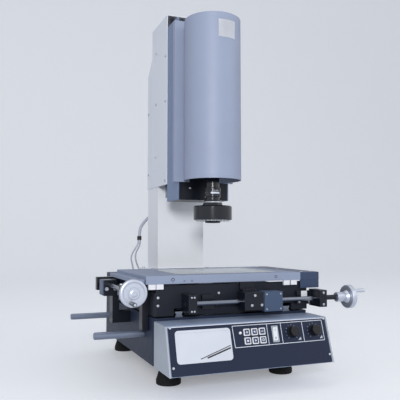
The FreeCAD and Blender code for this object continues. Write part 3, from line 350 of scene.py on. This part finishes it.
def drawn_metal(name, base, stretch, roughness=0.3, spread=0.22, depth=0.000012, metallic=1.0, dust=0.05):
    """Metal with the fine lines of brushing, grinding or milling."""
    made, tree, shader = start_material(name)
    grain = placed(tree, "Drawn grain", Stretch=stretch, Roughness=roughness, Spread=spread)
    skin = placed(tree, "Coat skin", Colour=rgba(base), Clouding=0.05, Roughness=grain["Roughness"],
                  Smudging=0.1)
    dusty = placed(tree, "Settled dust", Colour=skin["Colour"], Roughness=skin["Roughness"], Amount=dust)
    tree.links.new(dusty["Colour"], shader.inputs["Base Color"])
    tree.links.new(dusty["Roughness"], shader.inputs["Roughness"])
    shader.inputs["Metallic"].default_value = metallic
    bump(tree, shader, grain["Height"], depth)
    return made


def turned_metal(name, base, centre, roughness=0.3, metallic=0.7, depth=0.00001):
    """Metal with the rings of a lathe round a centre."""
    made, tree, shader = start_material(name)
    rings = placed(tree, "Turned rings", Centre=centre, Roughness=roughness)
    skin = placed(tree, "Coat skin", Colour=rgba(base), Clouding=0.03, Roughness=rings["Roughness"],
                  Smudging=0.12)
    tree.links.new(skin["Colour"], shader.inputs["Base Color"])
    tree.links.new(skin["Roughness"], shader.inputs["Roughness"])
    shader.inputs["Metallic"].default_value = metallic
    bump(tree, shader, rings["Height"], depth)
    return made


def clear_material(name, base, roughness, ior):
    """Glass with a faint haze."""
    made, tree, shader = start_material(name)
    haze = placed(tree, "Coat skin", Colour=rgba(base), Clouding=0.01, Roughness=roughness, Smudging=0.03)
    tree.links.new(haze["Colour"], shader.inputs["Base Color"])
    tree.links.new(haze["Roughness"], shader.inputs["Roughness"])
    shader.inputs["Transmission Weight"].default_value = 1.0
    shader.inputs["IOR"].default_value = ior
    return made


finishes = {}


class MACHINE_OT_finishes(bpy.types.Operator):
    """Build the shader groups and every material of the machine"""
    bl_idname = "machine.finishes"
    bl_label = "Finishes"

    def execute(self, context):
        c = context.scene.machine_colours
        s = context.scene.machine_sizes
        groups = (coat_skin_group(), edge_rub_group(), settled_dust_group(), drawn_grain_group(),
                  turned_rings_group())
        effects.update({tree.name: tree for tree in groups})
        right, left, focus = (WHEEL_FACES[body][0] for body in ("x_wheel", "y_wheel", "z_wheel"))
        # coated: colour, roughness, clouding, size and depth of the grain in metres, edge rub
        # drawn_metal: colour, stretch of the lines, roughness, spread; turned_metal: colour, centre
        finishes.update({
            "casting": coated("casting_paint", c.casting, 0.55, 0.1, s.casting_grain, 0.00012, 0.3,
                              dust=0.05, specular=0.3),
            # The saddle's colour is partly its black paint and partly painted shadow from the table
            "saddle": coated("saddle_paint_and_shadow", c.saddle, 0.55, 0.1, s.casting_grain, 0.0001, 0.3,
                             dust=0.05, specular=0.25),
            "column": coated("column_powder_coat", c.column, 0.42, 0.02, s.coat_grain, 0.00004, 0.15,
                             dust=0.03),
            "sheets": coated("side_sheet_powder_coat", c.sheets, 0.42, 0.02, s.coat_grain, 0.00004, 0.15,
                             dust=0.03),
            "hood": coated("hood_powder_coat", c.hood, 0.5, 0.03, s.coat_grain, 0.00003, 0.25),
            # The head's side sheets get a darker copy of the hood paint, as painted shade on their
            # left-facing side
            "head_sides_shade": coated("head_side_shaded_coat", c.head_sides_shade, 0.45, 0.03, s.coat_grain, 0.00003,
                                 0.25),
            "box_sides": coated("box_side_powder_coat", c.box_sides, 0.45, 0.04, s.coat_grain, 0.00005, 0.3),
            "box_top": coated("box_top_paint", c.box_top, 0.45, 0.06, s.coat_grain, 0.00006, 0.35),
            "panel": coated("panel_print_film", c.panel, 0.42, 0.03, 0.0008, 0.00001, 0.1,
                            dust=0.04, specular=0.25),
            "black": coated("black_anodising", c.black, 0.32, 0.06, 0.0006, 0.00001, 0.3, RUBBED_BLACK,
                            dust=0.04, specular=0.3),
            "optics": coated("glossy_black_anodising", c.black, 0.15, 0.03, 0.0006, 0.000004, 0.3,
                             RUBBED_BLACK, dust=0.02, specular=0.45),
            "table": drawn_metal("table_milled_plate", c.table, (7.0, 1400.0, 1400.0), 0.6, 0.18,
                                 metallic=0.2),
            "lift_bars": drawn_metal("lift_bar_paint", c.lift_bars, (30.0, 900.0, 900.0), 0.36, 0.15,
                                     metallic=0.5),
            "table_end": coated("table_end_paint", c.table_end, 0.42, 0.06, s.coat_grain, 0.00004, 0.4),
            "rods_x": drawn_metal("ground_rod_along_x", c.rods, (9.0, 2200.0, 2200.0), 0.24),
            "rods_y": drawn_metal("ground_rod_along_y", c.rods, (2200.0, 9.0, 2200.0), 0.24),
            "rods_z": drawn_metal("ground_rail_along_z", c.rods, (2200.0, 2200.0, 9.0), 0.26),
            "x_wheel": turned_metal("right_wheel_turned", c.wheels, right),
            "y_wheel": turned_metal("left_wheel_turned", c.wheels, left),
            "z_wheel": turned_metal("focus_wheel_turned", c.wheels, focus),
            "plate": drawn_metal("name_plate_brushed", c.plate, (10.0, 1600.0, 1600.0), 0.42, 0.12,
                                 metallic=0.25),
            "rubber": coated("moulded_rubber", c.rubber, 0.8, 0.12, 0.0009, 0.00005, 0.15,
                             dust=0.06, specular=0.3),
            "plastic_white": coated("white_moulding", c.moulding_white, 0.4, 0.03, 0.0007, 0.00001, 0.1),
            "plastic_black": coated("black_moulding", c.moulding_black, 0.3, 0.05, 0.0007, 0.00002, 0.15,
                                    dust=0.04, specular=0.35),
            "key": coated("key_navy", c.key_windows, 0.35, 0.04, 0.0006, 0.00001, 0.2, dust=0.04),
            "nut_cover": coated("nut_cover_blue", c.nut_covers, 0.42, 0.05, s.coat_grain, 0.00004, 0.3),
            "print_white": coated("white_print_ink", c.print_white, 0.5, 0.05, 0.0005, 0.000005, 0.0,
                                  dust=0.02),
            "print_black": coated("black_print_ink", c.print_black, 0.4, 0.05, 0.0005, 0.000005, 0.0,
                                  dust=0.02),
            "label": coated("bare_label_paper", c.labels, 0.55, 0.06, 0.0006, 0.00001, 0.1),
            "screw": turned_metal("plated_screw", c.screws, (0.0, 0.0, 0.0), 0.28, 1.0),
            "cable": coated("cable_sheath", c.cable, 0.5, 0.05, 0.0009, 0.00002, 0.1),
            "grip": drawn_metal("crank_grip_metal", c.wheels, (400.0, 400.0, 400.0), 0.32, 0.15,
                                metallic=0.6),
            "glass": clear_material("stage_glass_clear", (0.84, 0.92, 0.95), 0.03, 1.09),
            "lens": clear_material("coated_lens_glass", (0.62, 0.6, 0.78), 0.02, 1.7),
            "lamp": coated("lamp_epoxy", c.lamps, 0.16, 0.03, 0.0006, 0.000005, 0.0, dust=0.0, coat=0.6),
        })
        return {"FINISHED"}


# Modelling helpers
def wear(name, finish):
    """Give a CAD node's object a finish, without touching its mesh."""
    owner = frame["nodes"][name]
    if not owner.material_slots:
        owner.data.materials.append(None)
    for slot in owner.material_slots:
        slot.link = "OBJECT"
        slot.material = finishes[finish]
    return owner


def eased(name, finish, edge, segments=2):
    """A merged copy of a CAD node with its hard edges rounded, which stands for that node."""
    source = frame["nodes"][name]
    shape = bmesh.new()
    shape.from_mesh(source.data)
    bmesh.ops.remove_doubles(shape, verts=shape.verts, dist=0.00002)
    bmesh.ops.dissolve_limit(shape, angle_limit=math.radians(0.5), verts=shape.verts, edges=shape.edges)
    mesh = bpy.data.meshes.new(name + "_eased")
    shape.to_mesh(mesh)
    shape.free()
    if "custom_normal" in mesh.attributes:
        mesh.attributes.remove(mesh.attributes["custom_normal"])
    mesh.shade_smooth()
    mesh.set_sharp_from_angle(angle=math.radians(SHARP_EASED))
    piece = bpy.data.objects.new(name + "_eased", mesh)
    bpy.context.scene.collection.objects.link(piece)
    mesh.materials.clear()
    mesh.materials.append(finishes[finish])
    bevel = piece.modifiers.new("Eased edges", "BEVEL")
    bevel.width = edge
    bevel.segments = segments
    bevel.limit_method = "ANGLE"
    bevel.angle_limit = math.radians(38)
    bevel.harden_normals = True
    bevel.use_clamp_overlap = True
    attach(piece, source["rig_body"])
    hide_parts(name)
    return piece


def finished_piece(name, shape, finish, body):
    """Make a bmesh in frame coordinates a piece that rides on a body."""
    bmesh.ops.recalc_face_normals(shape, faces=shape.faces)
    mesh = bpy.data.meshes.new(name)
    shape.to_mesh(mesh)
    shape.free()
    mesh.shade_smooth()
    mesh.set_sharp_from_angle(angle=math.radians(SHARP_ADDED))
    mesh.materials.append(finishes[finish])
    piece = bpy.data.objects.new(name, mesh)
    bpy.context.scene.collection.objects.link(piece)
    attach(piece, body)
    return piece


def facing(point, direction):
    """A matrix that puts local +Z along a direction at a point."""
    return Matrix.Translation(point) @ Vector(direction).to_track_quat("Z", "Y").to_matrix().to_4x4()


def turned(shape, profile, place, steps=48):
    """Spin a profile of (radius, height) points in metres about a placed Z axis."""
    points = [shape.verts.new((radius, 0, height)) for radius, height in profile]
    edges = [shape.edges.new(pair) for pair in zip(points, points[1:])]
    spun = bmesh.ops.spin(shape, geom=points + edges, cent=(0, 0, 0), axis=(0, 0, 1), angle=2 * math.pi,
                          steps=steps, use_merge=True)
    found = set(points) | {v for v in spun["geom_last"] if isinstance(v, bmesh.types.BMVert)}
    grown = set(found)
    while True:
        ring = {edge.other_vert(v) for v in grown for edge in v.link_edges} - found
        if not ring:
            break
        found |= ring
        grown = ring
    bmesh.ops.remove_doubles(shape, verts=list(found), dist=0.000001)
    bmesh.ops.transform(shape, matrix=place, verts=[v for v in found if v.is_valid])


def screw(shape, point, direction, radius, height):
    """A screw head with a rounded rim and a six-sided socket, seated at a point."""
    place = facing(point, direction)
    r = radius
    profile = [(0, 0), (r, 0), (r, height * 0.7), (r * 0.92, height * 0.92), (r * 0.78, height),
               (r * 0.5, height)]
    turned(shape, profile, place, 24)
    socket = bmesh.ops.create_circle(shape, cap_ends=False, segments=6, radius=r * 0.5,
                                     matrix=place @ Matrix.Translation((0, 0, height)))["verts"]
    floor = bmesh.ops.create_circle(shape, cap_ends=True, segments=6, radius=r * 0.48,
                                    matrix=place @ Matrix.Translation((0, 0, height * 0.35)))["verts"]
    rims = [list({e for v in ring for e in v.link_edges}) for ring in (socket, floor)]
    bmesh.ops.bridge_loops(shape, edges=rims[0] + rims[1])


def slab(shape, place, size, centre=(0, 0, 0), edge=0.0):
    """A placed rectangular slab with bevelled edges."""
    cube = bmesh.ops.create_cube(shape, size=1.0, matrix=place @ Matrix.Translation(centre)
                                 @ Matrix.Diagonal((*size, 1)))
    if edge:
        edges = list({e for v in cube["verts"] for e in v.link_edges})
        bmesh.ops.bevel(shape, geom=edges, offset=edge, segments=2, profile=0.5, affect="EDGES", material=-1)


def stroke(shape, start, end, width, low=0.0, high=0.08):
    """A printed line on the control panel between two (x, up the slope) points in millimetres."""
    run = Vector((end[0] - start[0], end[1] - start[1], 0))
    middle = Vector(((start[0] + end[0]) / 2, (start[1] + end[1]) / 2, (low + high) / 2))
    turn = Matrix.Rotation(math.atan2(run.y, run.x), 4, "Z")
    slab(shape, PANEL @ Matrix.Translation(middle) @ turn, (run.length + width, width, high - low))


# Pieces
class MACHINE_OT_castings(bpy.types.Operator):
    """Finish the base, saddle, column and control box"""
    bl_idname = "machine.castings"
    bl_label = "Castings and sheets"

    def execute(self, context):
        s = context.scene.machine_sizes
        eased("base_casting", "casting", s.casting_edge, 3)
        eased("y_saddle", "saddle", s.casting_edge, 3)
        eased("control_box", "box_top", s.sheet_edge)
        eased("box_sides", "box_sides", s.sheet_edge)
        eased("control_panel", "panel", s.sheet_edge)
        eased("column_post", "column", s.casting_edge, 3)
        for name in ("column_side_panels", "column_cover"):
            eased(name, "sheets", s.sheet_edge)
        eased("head_hood", "hood", s.sheet_edge)
        # The side sheets wear the darker blue that stands for painted shade
        eased("head_side_sheets", "head_sides_shade", s.sheet_edge)
        wear("rubber_feet", "rubber")
        return {"FINISHED"}


class MACHINE_OT_stage_parts(bpy.types.Operator):
    """Finish the table, its guides and both drives"""
    bl_idname = "machine.stage_parts"
    bl_label = "Table and drives"

    def execute(self, context):
        s = context.scene.machine_sizes
        eased("table_plate", "table", s.plate_edge)
        eased("table_left_cover", "table", s.plate_edge)
        eased("table_right_end", "table_end", s.plate_edge)
        eased("scale_blocks", "plastic_white", s.plate_edge)
        eased("x_nut_cover", "nut_cover", s.machined_edge)
        eased("y_nut_cover", "nut_cover", s.machined_edge)
        for name in ("x_drive_brackets", "y_drive_brackets", "x_nut_block", "y_nut_block"):
            eased(name, "black", s.machined_edge)
        for name in ("x_drive_rod", "x_runners", "saddle_guides"):
            wear(name, "rods_x")
        wear("carry_rods", "lift_bars")
        wear("fixed_rails", "rods_z")
        wear("y_drive_rod", "rods_y")
        for axis in "xyz":
            wear(axis + "_handwheel", axis + "_wheel")
            wear(axis + "_crank_grip", "grip" if axis == "x" else "plastic_black")
        wear("stage_glass", "glass")
        wear("light_window", "glass")
        wear("contour_light", "black")
        wear("frame_screws", "screw")
        return {"FINISHED"}


class MACHINE_OT_head_parts(bpy.types.Operator):
    """Finish the camera head's slide, lens, camera and ring light"""
    bl_idname = "machine.head_parts"
    bl_label = "Camera head"

    def execute(self, context):
        s = context.scene.machine_sizes
        for name in ("head_carriage", "z_slide", "camera_body"):
            eased(name, "black", s.machined_edge)
        for name in ("lens_barrel", "zoom_ring", "ring_light"):
            wear(name, "optics")
        ring_light_lamps(s)
        front_lens()
        zoom_white_band()
        heads = bmesh.new()
        for x in (-31, 31):
            screw(heads, at(x, 50, 371.4), (0, -1, 0), 0.0022, 0.0012)
        finished_piece("carriage_screws", heads, "screw", "head")
        hood_label()
        return {"FINISHED"}


def ring_light_lamps(sizes):
    """Both rows of lamps, which shine down from their seats in the ring light."""
    lamps = bmesh.new()
    for count, radius in ((sizes.outer_lamps, OUTER_ROW), (sizes.inner_lamps, INNER_ROW)):
        for step in range(count):
            angle = 2 * math.pi * (step + 0.5) / count
            seat = Vector((radius * math.cos(angle), radius * math.sin(angle), at(0, 0, LAMP_SEAT).z))
            lamp(lamps, facing(seat, (0, 0, -1)), sizes.lamp_radius)
    finished_piece("ring_light_lamps", lamps, "lamp", "head")


def front_lens():
    """The front glass of the zoom lens and the bright trim ring above the ring light."""
    glass = bmesh.new()
    profile = [(0, -0.0009), (0.004, -0.0008), (0.0078, -0.0004), (0.0105, 0.0002), (0.0105, 0.0014),
               (0, 0.0014)]
    turned(glass, profile, Matrix.Translation(at(0, 0, 297.4)))
    finished_piece("front_lens", glass, "lens", "head")
    band = bmesh.new()
    rim = [(0.0183, -0.0012), (0.0194, -0.0010), (0.0188, 0.0010), (0.0178, 0.0012), (0.0176, 0),
           (0.0183, -0.0012)]
    turned(band, rim, Matrix.Translation(at(0, 0, 338.6)), 64)
    finished_piece("ring_light_trim", band, "screw", "head")


def zoom_white_band():
    """A white band and a fine white line on the zoom ring, as thin plates along an arc."""
    reach = 16.45
    mark = bmesh.new()
    for lift, start, end, wide in ((357.4, -126, -58, 3.6), (362.4, -118, -66, 0.6)):
        for step in range(start, end, 4):
            angle = math.radians(step + 2)
            place = (Matrix.Translation(at(reach * math.cos(angle), reach * math.sin(angle), lift))
                     @ Matrix.Rotation(angle, 4, "Z"))
            slab(mark, place, (0.0002, 0.00118, wide / 1000))
    finished_piece("zoom_ring_scale", mark, "print_white", "zoom")


def hood_label():
    """A bare label bent round the front of the hood."""
    bow = 59.12
    label = bmesh.new()
    sheet = bmesh.ops.create_grid(label, x_segments=20, y_segments=8, size=0.5)["verts"]
    for vert in sheet:
        angle = math.radians(8 + vert.co.x * 38)
        vert.co = at(bow * math.sin(angle), -bow * math.cos(angle), 686 + vert.co.y * 36)
    bmesh.ops.solidify(label, geom=label.faces[:], thickness=0.0001)
    finished_piece("hood_label", label, "label", "head")


def lamp(shape, place, radius):
    """One lamp of the ring light: a flanged foot, a short barrel and a domed tip."""
    r = radius
    profile = [(0, 0), (r * 1.1, 0), (r * 1.1, r * 0.25), (r, r * 0.3), (r, r * 1.7), (r * 0.87, r * 2.2),
               (r * 0.5, r * 2.5), (0, r * 2.62)]
    turned(shape, profile, place, 12)


class MACHINE_OT_panel(bpy.types.Operator):
    """Print the control panel and dress its keys, rocker, knobs and lamp"""
    bl_idname = "machine.panel"
    bl_label = "Control panel"

    def execute(self, context):
        s = context.scene.machine_sizes
        wide = s.print_line * 1000
        eased("name_plate", "plate", 0.0003)
        wear("rocker_frame", "box_sides")
        wear("rocker_switch", "plastic_white")
        wear("power_led", "lamp")
        for name in ("contour_knob", "surface_knob", "cable_glands", "cable_plugs"):
            wear(name, "plastic_black")
        lines = bmesh.new()
        corners = [(-36.5, 76.0), (145.0, 76.7), (145.0, 41.0), (-35.0, 39.5)]
        for start, end in zip(corners, corners[1:] + corners[:1]):
            stroke(lines, start, end, wide)
        for x, low, high in ((30.5, 40.0, 76.2), (58.5, 40.2, 76.4), (102.5, 40.6, 76.5)):
            stroke(lines, (x, low), (x, high), wide)
        for centre in (80.0, 125.0):
            dial_marks(lines, centre, 59.0)
        finished_piece("panel_lines", lines, "print_white", "frame")
        # A pale strip along the panel's top edge: a painted highlight of the box top's bent edge
        edge = bmesh.new()
        stroke(edge, (-152.0, 80.2), (152.0, 80.2), 1.0)
        finished_piece("panel_edge_line", edge, "sheets", "frame")
        face = bmesh.new()
        slab(face, PANEL, (94.0, 0.35, 0.06), (-91.75, 69.5, 1.23))
        finished_piece("plate_rule", face, "box_sides", "frame")
        stripes = bmesh.new()
        stroke(stripes, (-100.0, 26.0), (-44.7, 44.0), 1.4, 1.2, 1.26)
        stroke(stripes, (-87.4, 27.0), (-45.3, 40.0), 2.6, 1.2, 1.26)
        finished_piece("plate_stripes", stripes, "print_black", "frame")
        rocker_marks()
        for number in range(6):
            key_dress(number)
        return {"FINISHED"}


def dial_marks(shape, x, v):
    """A generic dial: ticks round the knob and a wedge that grows towards the strong end."""
    for step in range(11):
        angle = math.radians(230 - 28 * step)
        near = (x + 12.2 * math.cos(angle), v + 12.2 * math.sin(angle))
        far = (x + 13.6 * math.cos(angle), v + 13.6 * math.sin(angle))
        stroke(shape, near, far, 0.35)
    for step in range(5):
        stroke(shape, (x + 11.5 + step * 1.1, v - 14.2), (x + 11.5 + step * 1.1, v - 13.6 + step * 0.9), 0.7)


def rocker_marks():
    """The generic on bar and off ring, each on its own slope of the rocker."""
    marks = bmesh.new()
    middle = PANEL @ Matrix.Translation((45.2, 57.8, 1.2))
    half = 11.55
    raised = middle @ Matrix.Rotation(math.atan2(2.0, half), 4, "X")
    slab(marks, raised, (0.7, 3.2, 0.1), (0, 7.0, -0.1))
    pressed = middle @ Matrix.Rotation(math.atan2(0.6, half), 4, "X")
    ring = [(1.1, -0.05), (1.7, -0.05), (1.7, 0.06), (1.1, 0.06), (1.1, -0.05)]
    turned(marks, ring, pressed @ Matrix.Translation((0, -7.0, 0.0)), 24)
    finished_piece("rocker_marks", marks, "print_black", "rocker")


def key_dress(number):
    """The navy window of one key and a plain white sign on it."""
    x = -10.4 + 15.0 * (number % 3)
    v = 49.2 + 14.8 * (1 - number // 3)
    body = "key_%d" % (number + 1)
    wear(body, "plastic_white")
    place = PANEL @ Matrix.Translation((x, v, 1.6))
    window = bmesh.new()
    slab(window, place, (8.6, 8.6, 0.16), (0, 0, 0.02), 0.00006)
    finished_piece(body + "_window", window, "key", body)
    sign = bmesh.new()
    up = place @ Matrix.Translation((0, 0, 0.12))
    if number in (0, 2):
        slab(sign, up, (4.2, 1.2, 0.06))
    if number == 0:
        slab(sign, up, (1.2, 4.2, 0.06))
    if number in (1, 4):
        flip = Matrix.Rotation(math.radians(90 if number == 1 else -90), 4, "Z")
        bmesh.ops.create_cone(sign, cap_ends=True, segments=3, radius1=2.5, radius2=2.5, depth=0.06,
                              matrix=up @ flip)
    if number in (3, 5):
        ring = [(1.3, -0.03), (2.3, -0.03), (2.3, 0.03), (1.3, 0.03), (1.3, -0.03)]
        if number == 3:
            ring = [(0, -0.03), (1.9, -0.03), (1.9, 0.03), (0, 0.03)]
        turned(sign, ring, up, 24)
    finished_piece(body + "_sign", sign, "print_white", body)


class MACHINE_OT_small_parts(bpy.types.Operator):
    """Add the screws, black discs painted as the shade of holes, and bare labels of the moving pieces"""
    bl_idname = "machine.small_parts"
    bl_label = "Small parts"

    def execute(self, context):
        # Where each head sits in millimetres, the way it looks, its radius and height in millimetres
        front, top = (0, -1, 0), (0, 0, 1)
        rows = {
            "saddle": [(x, -105, z, front, 2.4, 1.4) for x, z in
                       ((-33, 164.5), (-36, 145.0), (-150, 146.0), (-150, 160.0), (148, 158.0))]
            + [(x, -143, z, front, 1.7, 1.0) for x in (-100.5, -95.5) for z in (138.0, 162.0)]
            + [(169, -143, z, front, 2.4, 1.4) for z in (139.0, 161.0)]
            + [(x, -111, 141.5, front, 2.0, 1.2) for x in (135, 157)]
            + [(-205, y, 181.5, top, 2.6, 1.6) for y in (-71, -59)],
            "table": [(x, -143, z, front, 2.6, 1.4) for x, z in ((22.2, 161.3), (16.0, 143.6), (36.0, 143.6))]
            + [(x, -143, z, front, 1.6, 0.9) for x, z in
               ((46.5, 162.6), (75.5, 162.6), (46.5, 135.5), (75.5, 135.5))]
            + [(x, y, 199, top, 2.8, 0.6) for x in (150, 171) for y in (-95, 0, 95)],
        }
        for body, row in rows.items():
            heads = bmesh.new()
            for x, y, z, direction, radius, height in row:
                screw(heads, at(x, y, z), direction, radius / 1000, height / 1000)
            finished_piece(body + "_screws", heads, "screw", body)
        # The holes on the table's front edge are flat black discs with a thin rim: painted shade where a hole
        # would be
        holes = bmesh.new()
        for x, z, r in ((-123.8, 191.5, 2.6), (-102.0, 188.4, 1.4), (-87.6, 188.4, 1.4), (84.7, 191.5, 2.2)):
            profile = [(r * 1.25, 0), (r, 0.06), (r * 0.8, 0.0), (0, -0.02), (0, 0.04)]
            profile = [(radius / 1000, height / 1000) for radius, height in profile]
            turned(holes, profile, facing(at(x, -110, z), (0, -1, 0)), 24)
        finished_piece("table_edge_holes", holes, "print_black", "table")
        label = bmesh.new()
        slab(label, Matrix.Translation(at(146, -111.08, 157)), (0.0135, 0.00016, 0.0115))
        finished_piece("bracket_label", label, "plastic_white", "saddle")
        sleeve = bmesh.new()
        turned(sleeve, [(0.0041, 0), (0.0048, 0.0003), (0.0048, 0.0312), (0.0041, 0.0315), (0.0041, 0)],
               facing(at(178, -125, 149.5), (1, 0, 0)), 32)
        finished_piece("x_shaft_sleeve", sleeve, "black", "x_wheel")
        profile = [(0, -0.0002), (0.0066, -0.0002), (0.0066, 0.0005), (0.0061, 0.0008), (0.0028, 0.0010),
                   (0.0024, 0.0006), (0, 0.0006)]
        for body, (point, direction) in WHEEL_FACES.items():
            cap = bmesh.new()
            turned(cap, profile, facing(point, direction), 40)
            finished_piece(body + "_hub_cap", cap, body, body)
        return {"FINISHED"}


class MACHINE_OT_cables(bpy.types.Operator):
    """Lay the sleeve and both wires behind the column"""
    bl_idname = "machine.cables"
    bl_label = "Cables"

    def execute(self, context):
        for name, diameter, far_end, extent, route in cable_routes():
            curve = bpy.data.curves.new(name + "_line", "CURVE")
            curve.dimensions = "3D"
            curve.bevel_depth = diameter / 2000
            curve.bevel_resolution = 4
            curve.resolution_u = 8
            curve.use_fill_caps = True
            spline = curve.splines.new("NURBS")
            spline.points.add(len(route) - 1)
            for point, place in zip(spline.points, route):
                point.co = (*at(*place), 1.0)
            spline.order_u = 3
            spline.use_endpoint_u = True
            curve.materials.append(finishes["cable"])
            piece = bpy.data.objects.new(name + "_line", curve)
            context.scene.collection.objects.link(piece)
            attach(piece, "frame")
            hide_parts(name)
        return {"FINISHED"}


def cable_routes():
    """Name, diameter in millimetres, far end, length in metres and route of each cable."""
    sleeve = [(-40, 289, 322), (-40, 301, 322), (-46.5, 315.5, 315), (-57.5, 324.5, 300),
              (-64, 327, 285.5), (-64, 327, 270)]
    signal = [(-67.2, 326.4, 260), (-67.2, 326.4, 251), (-73.5, 326.5, 240.5), (-82, 327, 228),
              (-86, 328, 213), (-81.5, 329, 197.5), (-78, 330, 180.5), (-80, 331, 163), (-85, 331.5, 146.5),
              (-89, 331.8, 130), (-92, 331.5, 119.5), (-92, 328.5, 111.5), (-92, 321.5, 107), (-92, 311, 107)]
    light = [(-62, 326.4, 260), (-62, 326.4, 251), (-66.5, 328.5, 239), (-73, 330, 227), (-73.5, 331, 212),
             (-68, 332, 196), (-60, 332.5, 180), (-54, 332.5, 163), (-50, 332.3, 146), (-48.5, 332, 130.5),
             (-48, 331.5, 119.5), (-48, 328.5, 111.5), (-48, 321.5, 107), (-48, 311, 107)]
    return (("cable_sleeve", 7.6, "fitting", 0.0805, sleeve), ("signal_wire", 4.0, "plug", 0.1742, signal),
            ("light_wire", 4.0, "plug", 0.174, light))


class MACHINE_OT_stage(bpy.types.Operator):
    """Lay the floor, hang the lights and aim the camera"""
    bl_idname = "machine.stage"
    bl_label = "Floor, light and camera"

    def execute(self, context):
        lay_floor(context.scene)
        light_scene(context.scene)
        aim_camera(context.scene)
        return {"FINISHED"}


def seen_directly(tree):
    """1 for rays that reach the eye straight, off a mirror or through glass, else 0."""
    rays = node(tree, "LightPath").outputs
    return maths(tree, "MAXIMUM", rays["Is Camera Ray"],
                 maths(tree, "MAXIMUM", rays["Is Glossy Ray"], rays["Is Transmission Ray"]))


def lay_floor(scene):
    """A sheet of paper under the machine that bends up behind it."""
    paper, tree, shader = start_material("floor_paper")
    skin = placed(tree, "Coat skin", Colour=rgba(scene.machine_colours.floor), Clouding=0.005, Roughness=0.8)
    tree.links.new(skin["Colour"], shader.inputs["Base Color"])
    tree.links.new(skin["Roughness"], shader.inputs["Roughness"])
    tree.links.new(skin["Colour"], shader.inputs["Emission Color"])
    tree.links.new(maths(tree, "MULTIPLY", seen_directly(tree), 0.3), shader.inputs["Emission Strength"])
    sheet = bmesh.new()
    bend, back, side = 1.6, 2.4, 9.0
    rise = [(math.radians(step * 6) - math.pi / 2) for step in range(16)]
    sweep = [(-side, 0.0)] + [(back + bend * math.cos(a), bend + bend * math.sin(a)) for a in rise]
    sweep.append((back + bend, 6.0))
    verts = [sheet.verts.new((-side, y, BENCH + z)) for y, z in sweep]
    edges = [sheet.edges.new(pair) for pair in zip(verts, verts[1:])]
    grown = bmesh.ops.extrude_edge_only(sheet, edges=edges)["geom"]
    moved = [g for g in grown if isinstance(g, bmesh.types.BMVert)]
    bmesh.ops.translate(sheet, vec=(2 * side, 0, 0), verts=moved)
    bmesh.ops.recalc_face_normals(sheet, faces=sheet.faces)
    mesh = bpy.data.meshes.new("floor")
    sheet.to_mesh(mesh)
    sheet.free()
    mesh.shade_smooth()
    mesh.materials.append(paper)
    floor = bpy.data.objects.new("floor", mesh)
    scene.collection.objects.link(floor)


def light_scene(scene):
    """A soft world that looks white where it is seen, and the area lights."""
    world = bpy.data.worlds.new("studio")
    scene.world = world
    world.use_nodes = True
    tree = world.node_tree
    tree.nodes.clear()
    ambient = node(tree, "Background", {"Color": (0.88, 0.92, 1.0, 1), "Strength": 0.45})
    paper = node(tree, "Background", {"Color": rgba(srgb(243, 245, 249)), "Strength": 1.0})
    choice = node(tree, "MixShader", {0: seen_directly(tree), 1: ambient.outputs[0], 2: paper.outputs[0]})
    result = node(tree, "OutputWorld")
    tree.links.new(choice.outputs[0], result.inputs[0])
    for name, place, size, power in LIGHTS:
        light = bpy.data.lights.new(name + "_light", "AREA")
        light.size = size
        light.energy = power
        light.color = (1.0, 0.99, 0.98)
        holder = bpy.data.objects.new(name + "_light", light)
        holder.location = place
        holder.rotation_euler = (LIT_POINT - Vector(place)).to_track_quat("-Z", "Y").to_euler()
        scene.collection.objects.link(holder)


def aim_camera(scene):
    lens = bpy.data.cameras.new("camera")
    lens.sensor_width = SENSOR_WIDTH
    lens.lens = FOCAL_LENGTH
    lens.clip_end = 60.0
    camera = bpy.data.objects.new("camera", lens)
    camera.location = CAMERA_PLACE
    camera.rotation_euler = (math.radians(90 + CAMERA_TILT), 0.0, math.radians(CAMERA_TURN))
    scene.collection.objects.link(camera)
    scene.camera = camera
    scene.view_settings.view_transform = "Standard"


class MACHINE_PT_panel(bpy.types.Panel):
    """The steps that dress the machine, with its colours and sizes"""
    bl_idname = "MACHINE_PT_panel"
    bl_label = "Measuring machine"
    bl_space_type = "VIEW_3D"
    bl_region_type = "UI"
    bl_category = "Measuring machine"

    def draw(self, context):
        for step in steps:
            self.layout.operator(step.bl_idname)
        for group in (context.scene.machine_colours, context.scene.machine_sizes):
            for name in group.__annotations__:
                self.layout.prop(group, name)


steps = (MACHINE_OT_finishes, MACHINE_OT_stage, MACHINE_OT_cables, MACHINE_OT_castings,
         MACHINE_OT_stage_parts, MACHINE_OT_head_parts, MACHINE_OT_panel, MACHINE_OT_small_parts)
classes = (FinishColours, DetailSizes, *steps, MACHINE_PT_panel)


def register():
    for item in classes:
        bpy.utils.register_class(item)
    bpy.types.Scene.machine_colours = PointerProperty(type=FinishColours)
    bpy.types.Scene.machine_sizes = PointerProperty(type=DetailSizes)


def unregister():
    del bpy.types.Scene.machine_sizes
    del bpy.types.Scene.machine_colours
    for item in reversed(classes):
        bpy.utils.unregister_class(item)


def main():
    for thing in [o for o in bpy.data.objects if o.type in ("CAMERA", "LIGHT") or o.name == "Cube"]:
        bpy.data.objects.remove(thing)
    register()
    for step in steps:
        group, operator = step.bl_idname.split(".")
        getattr(getattr(bpy.ops, group), operator)()


if __name__ == "__main__":
    main()
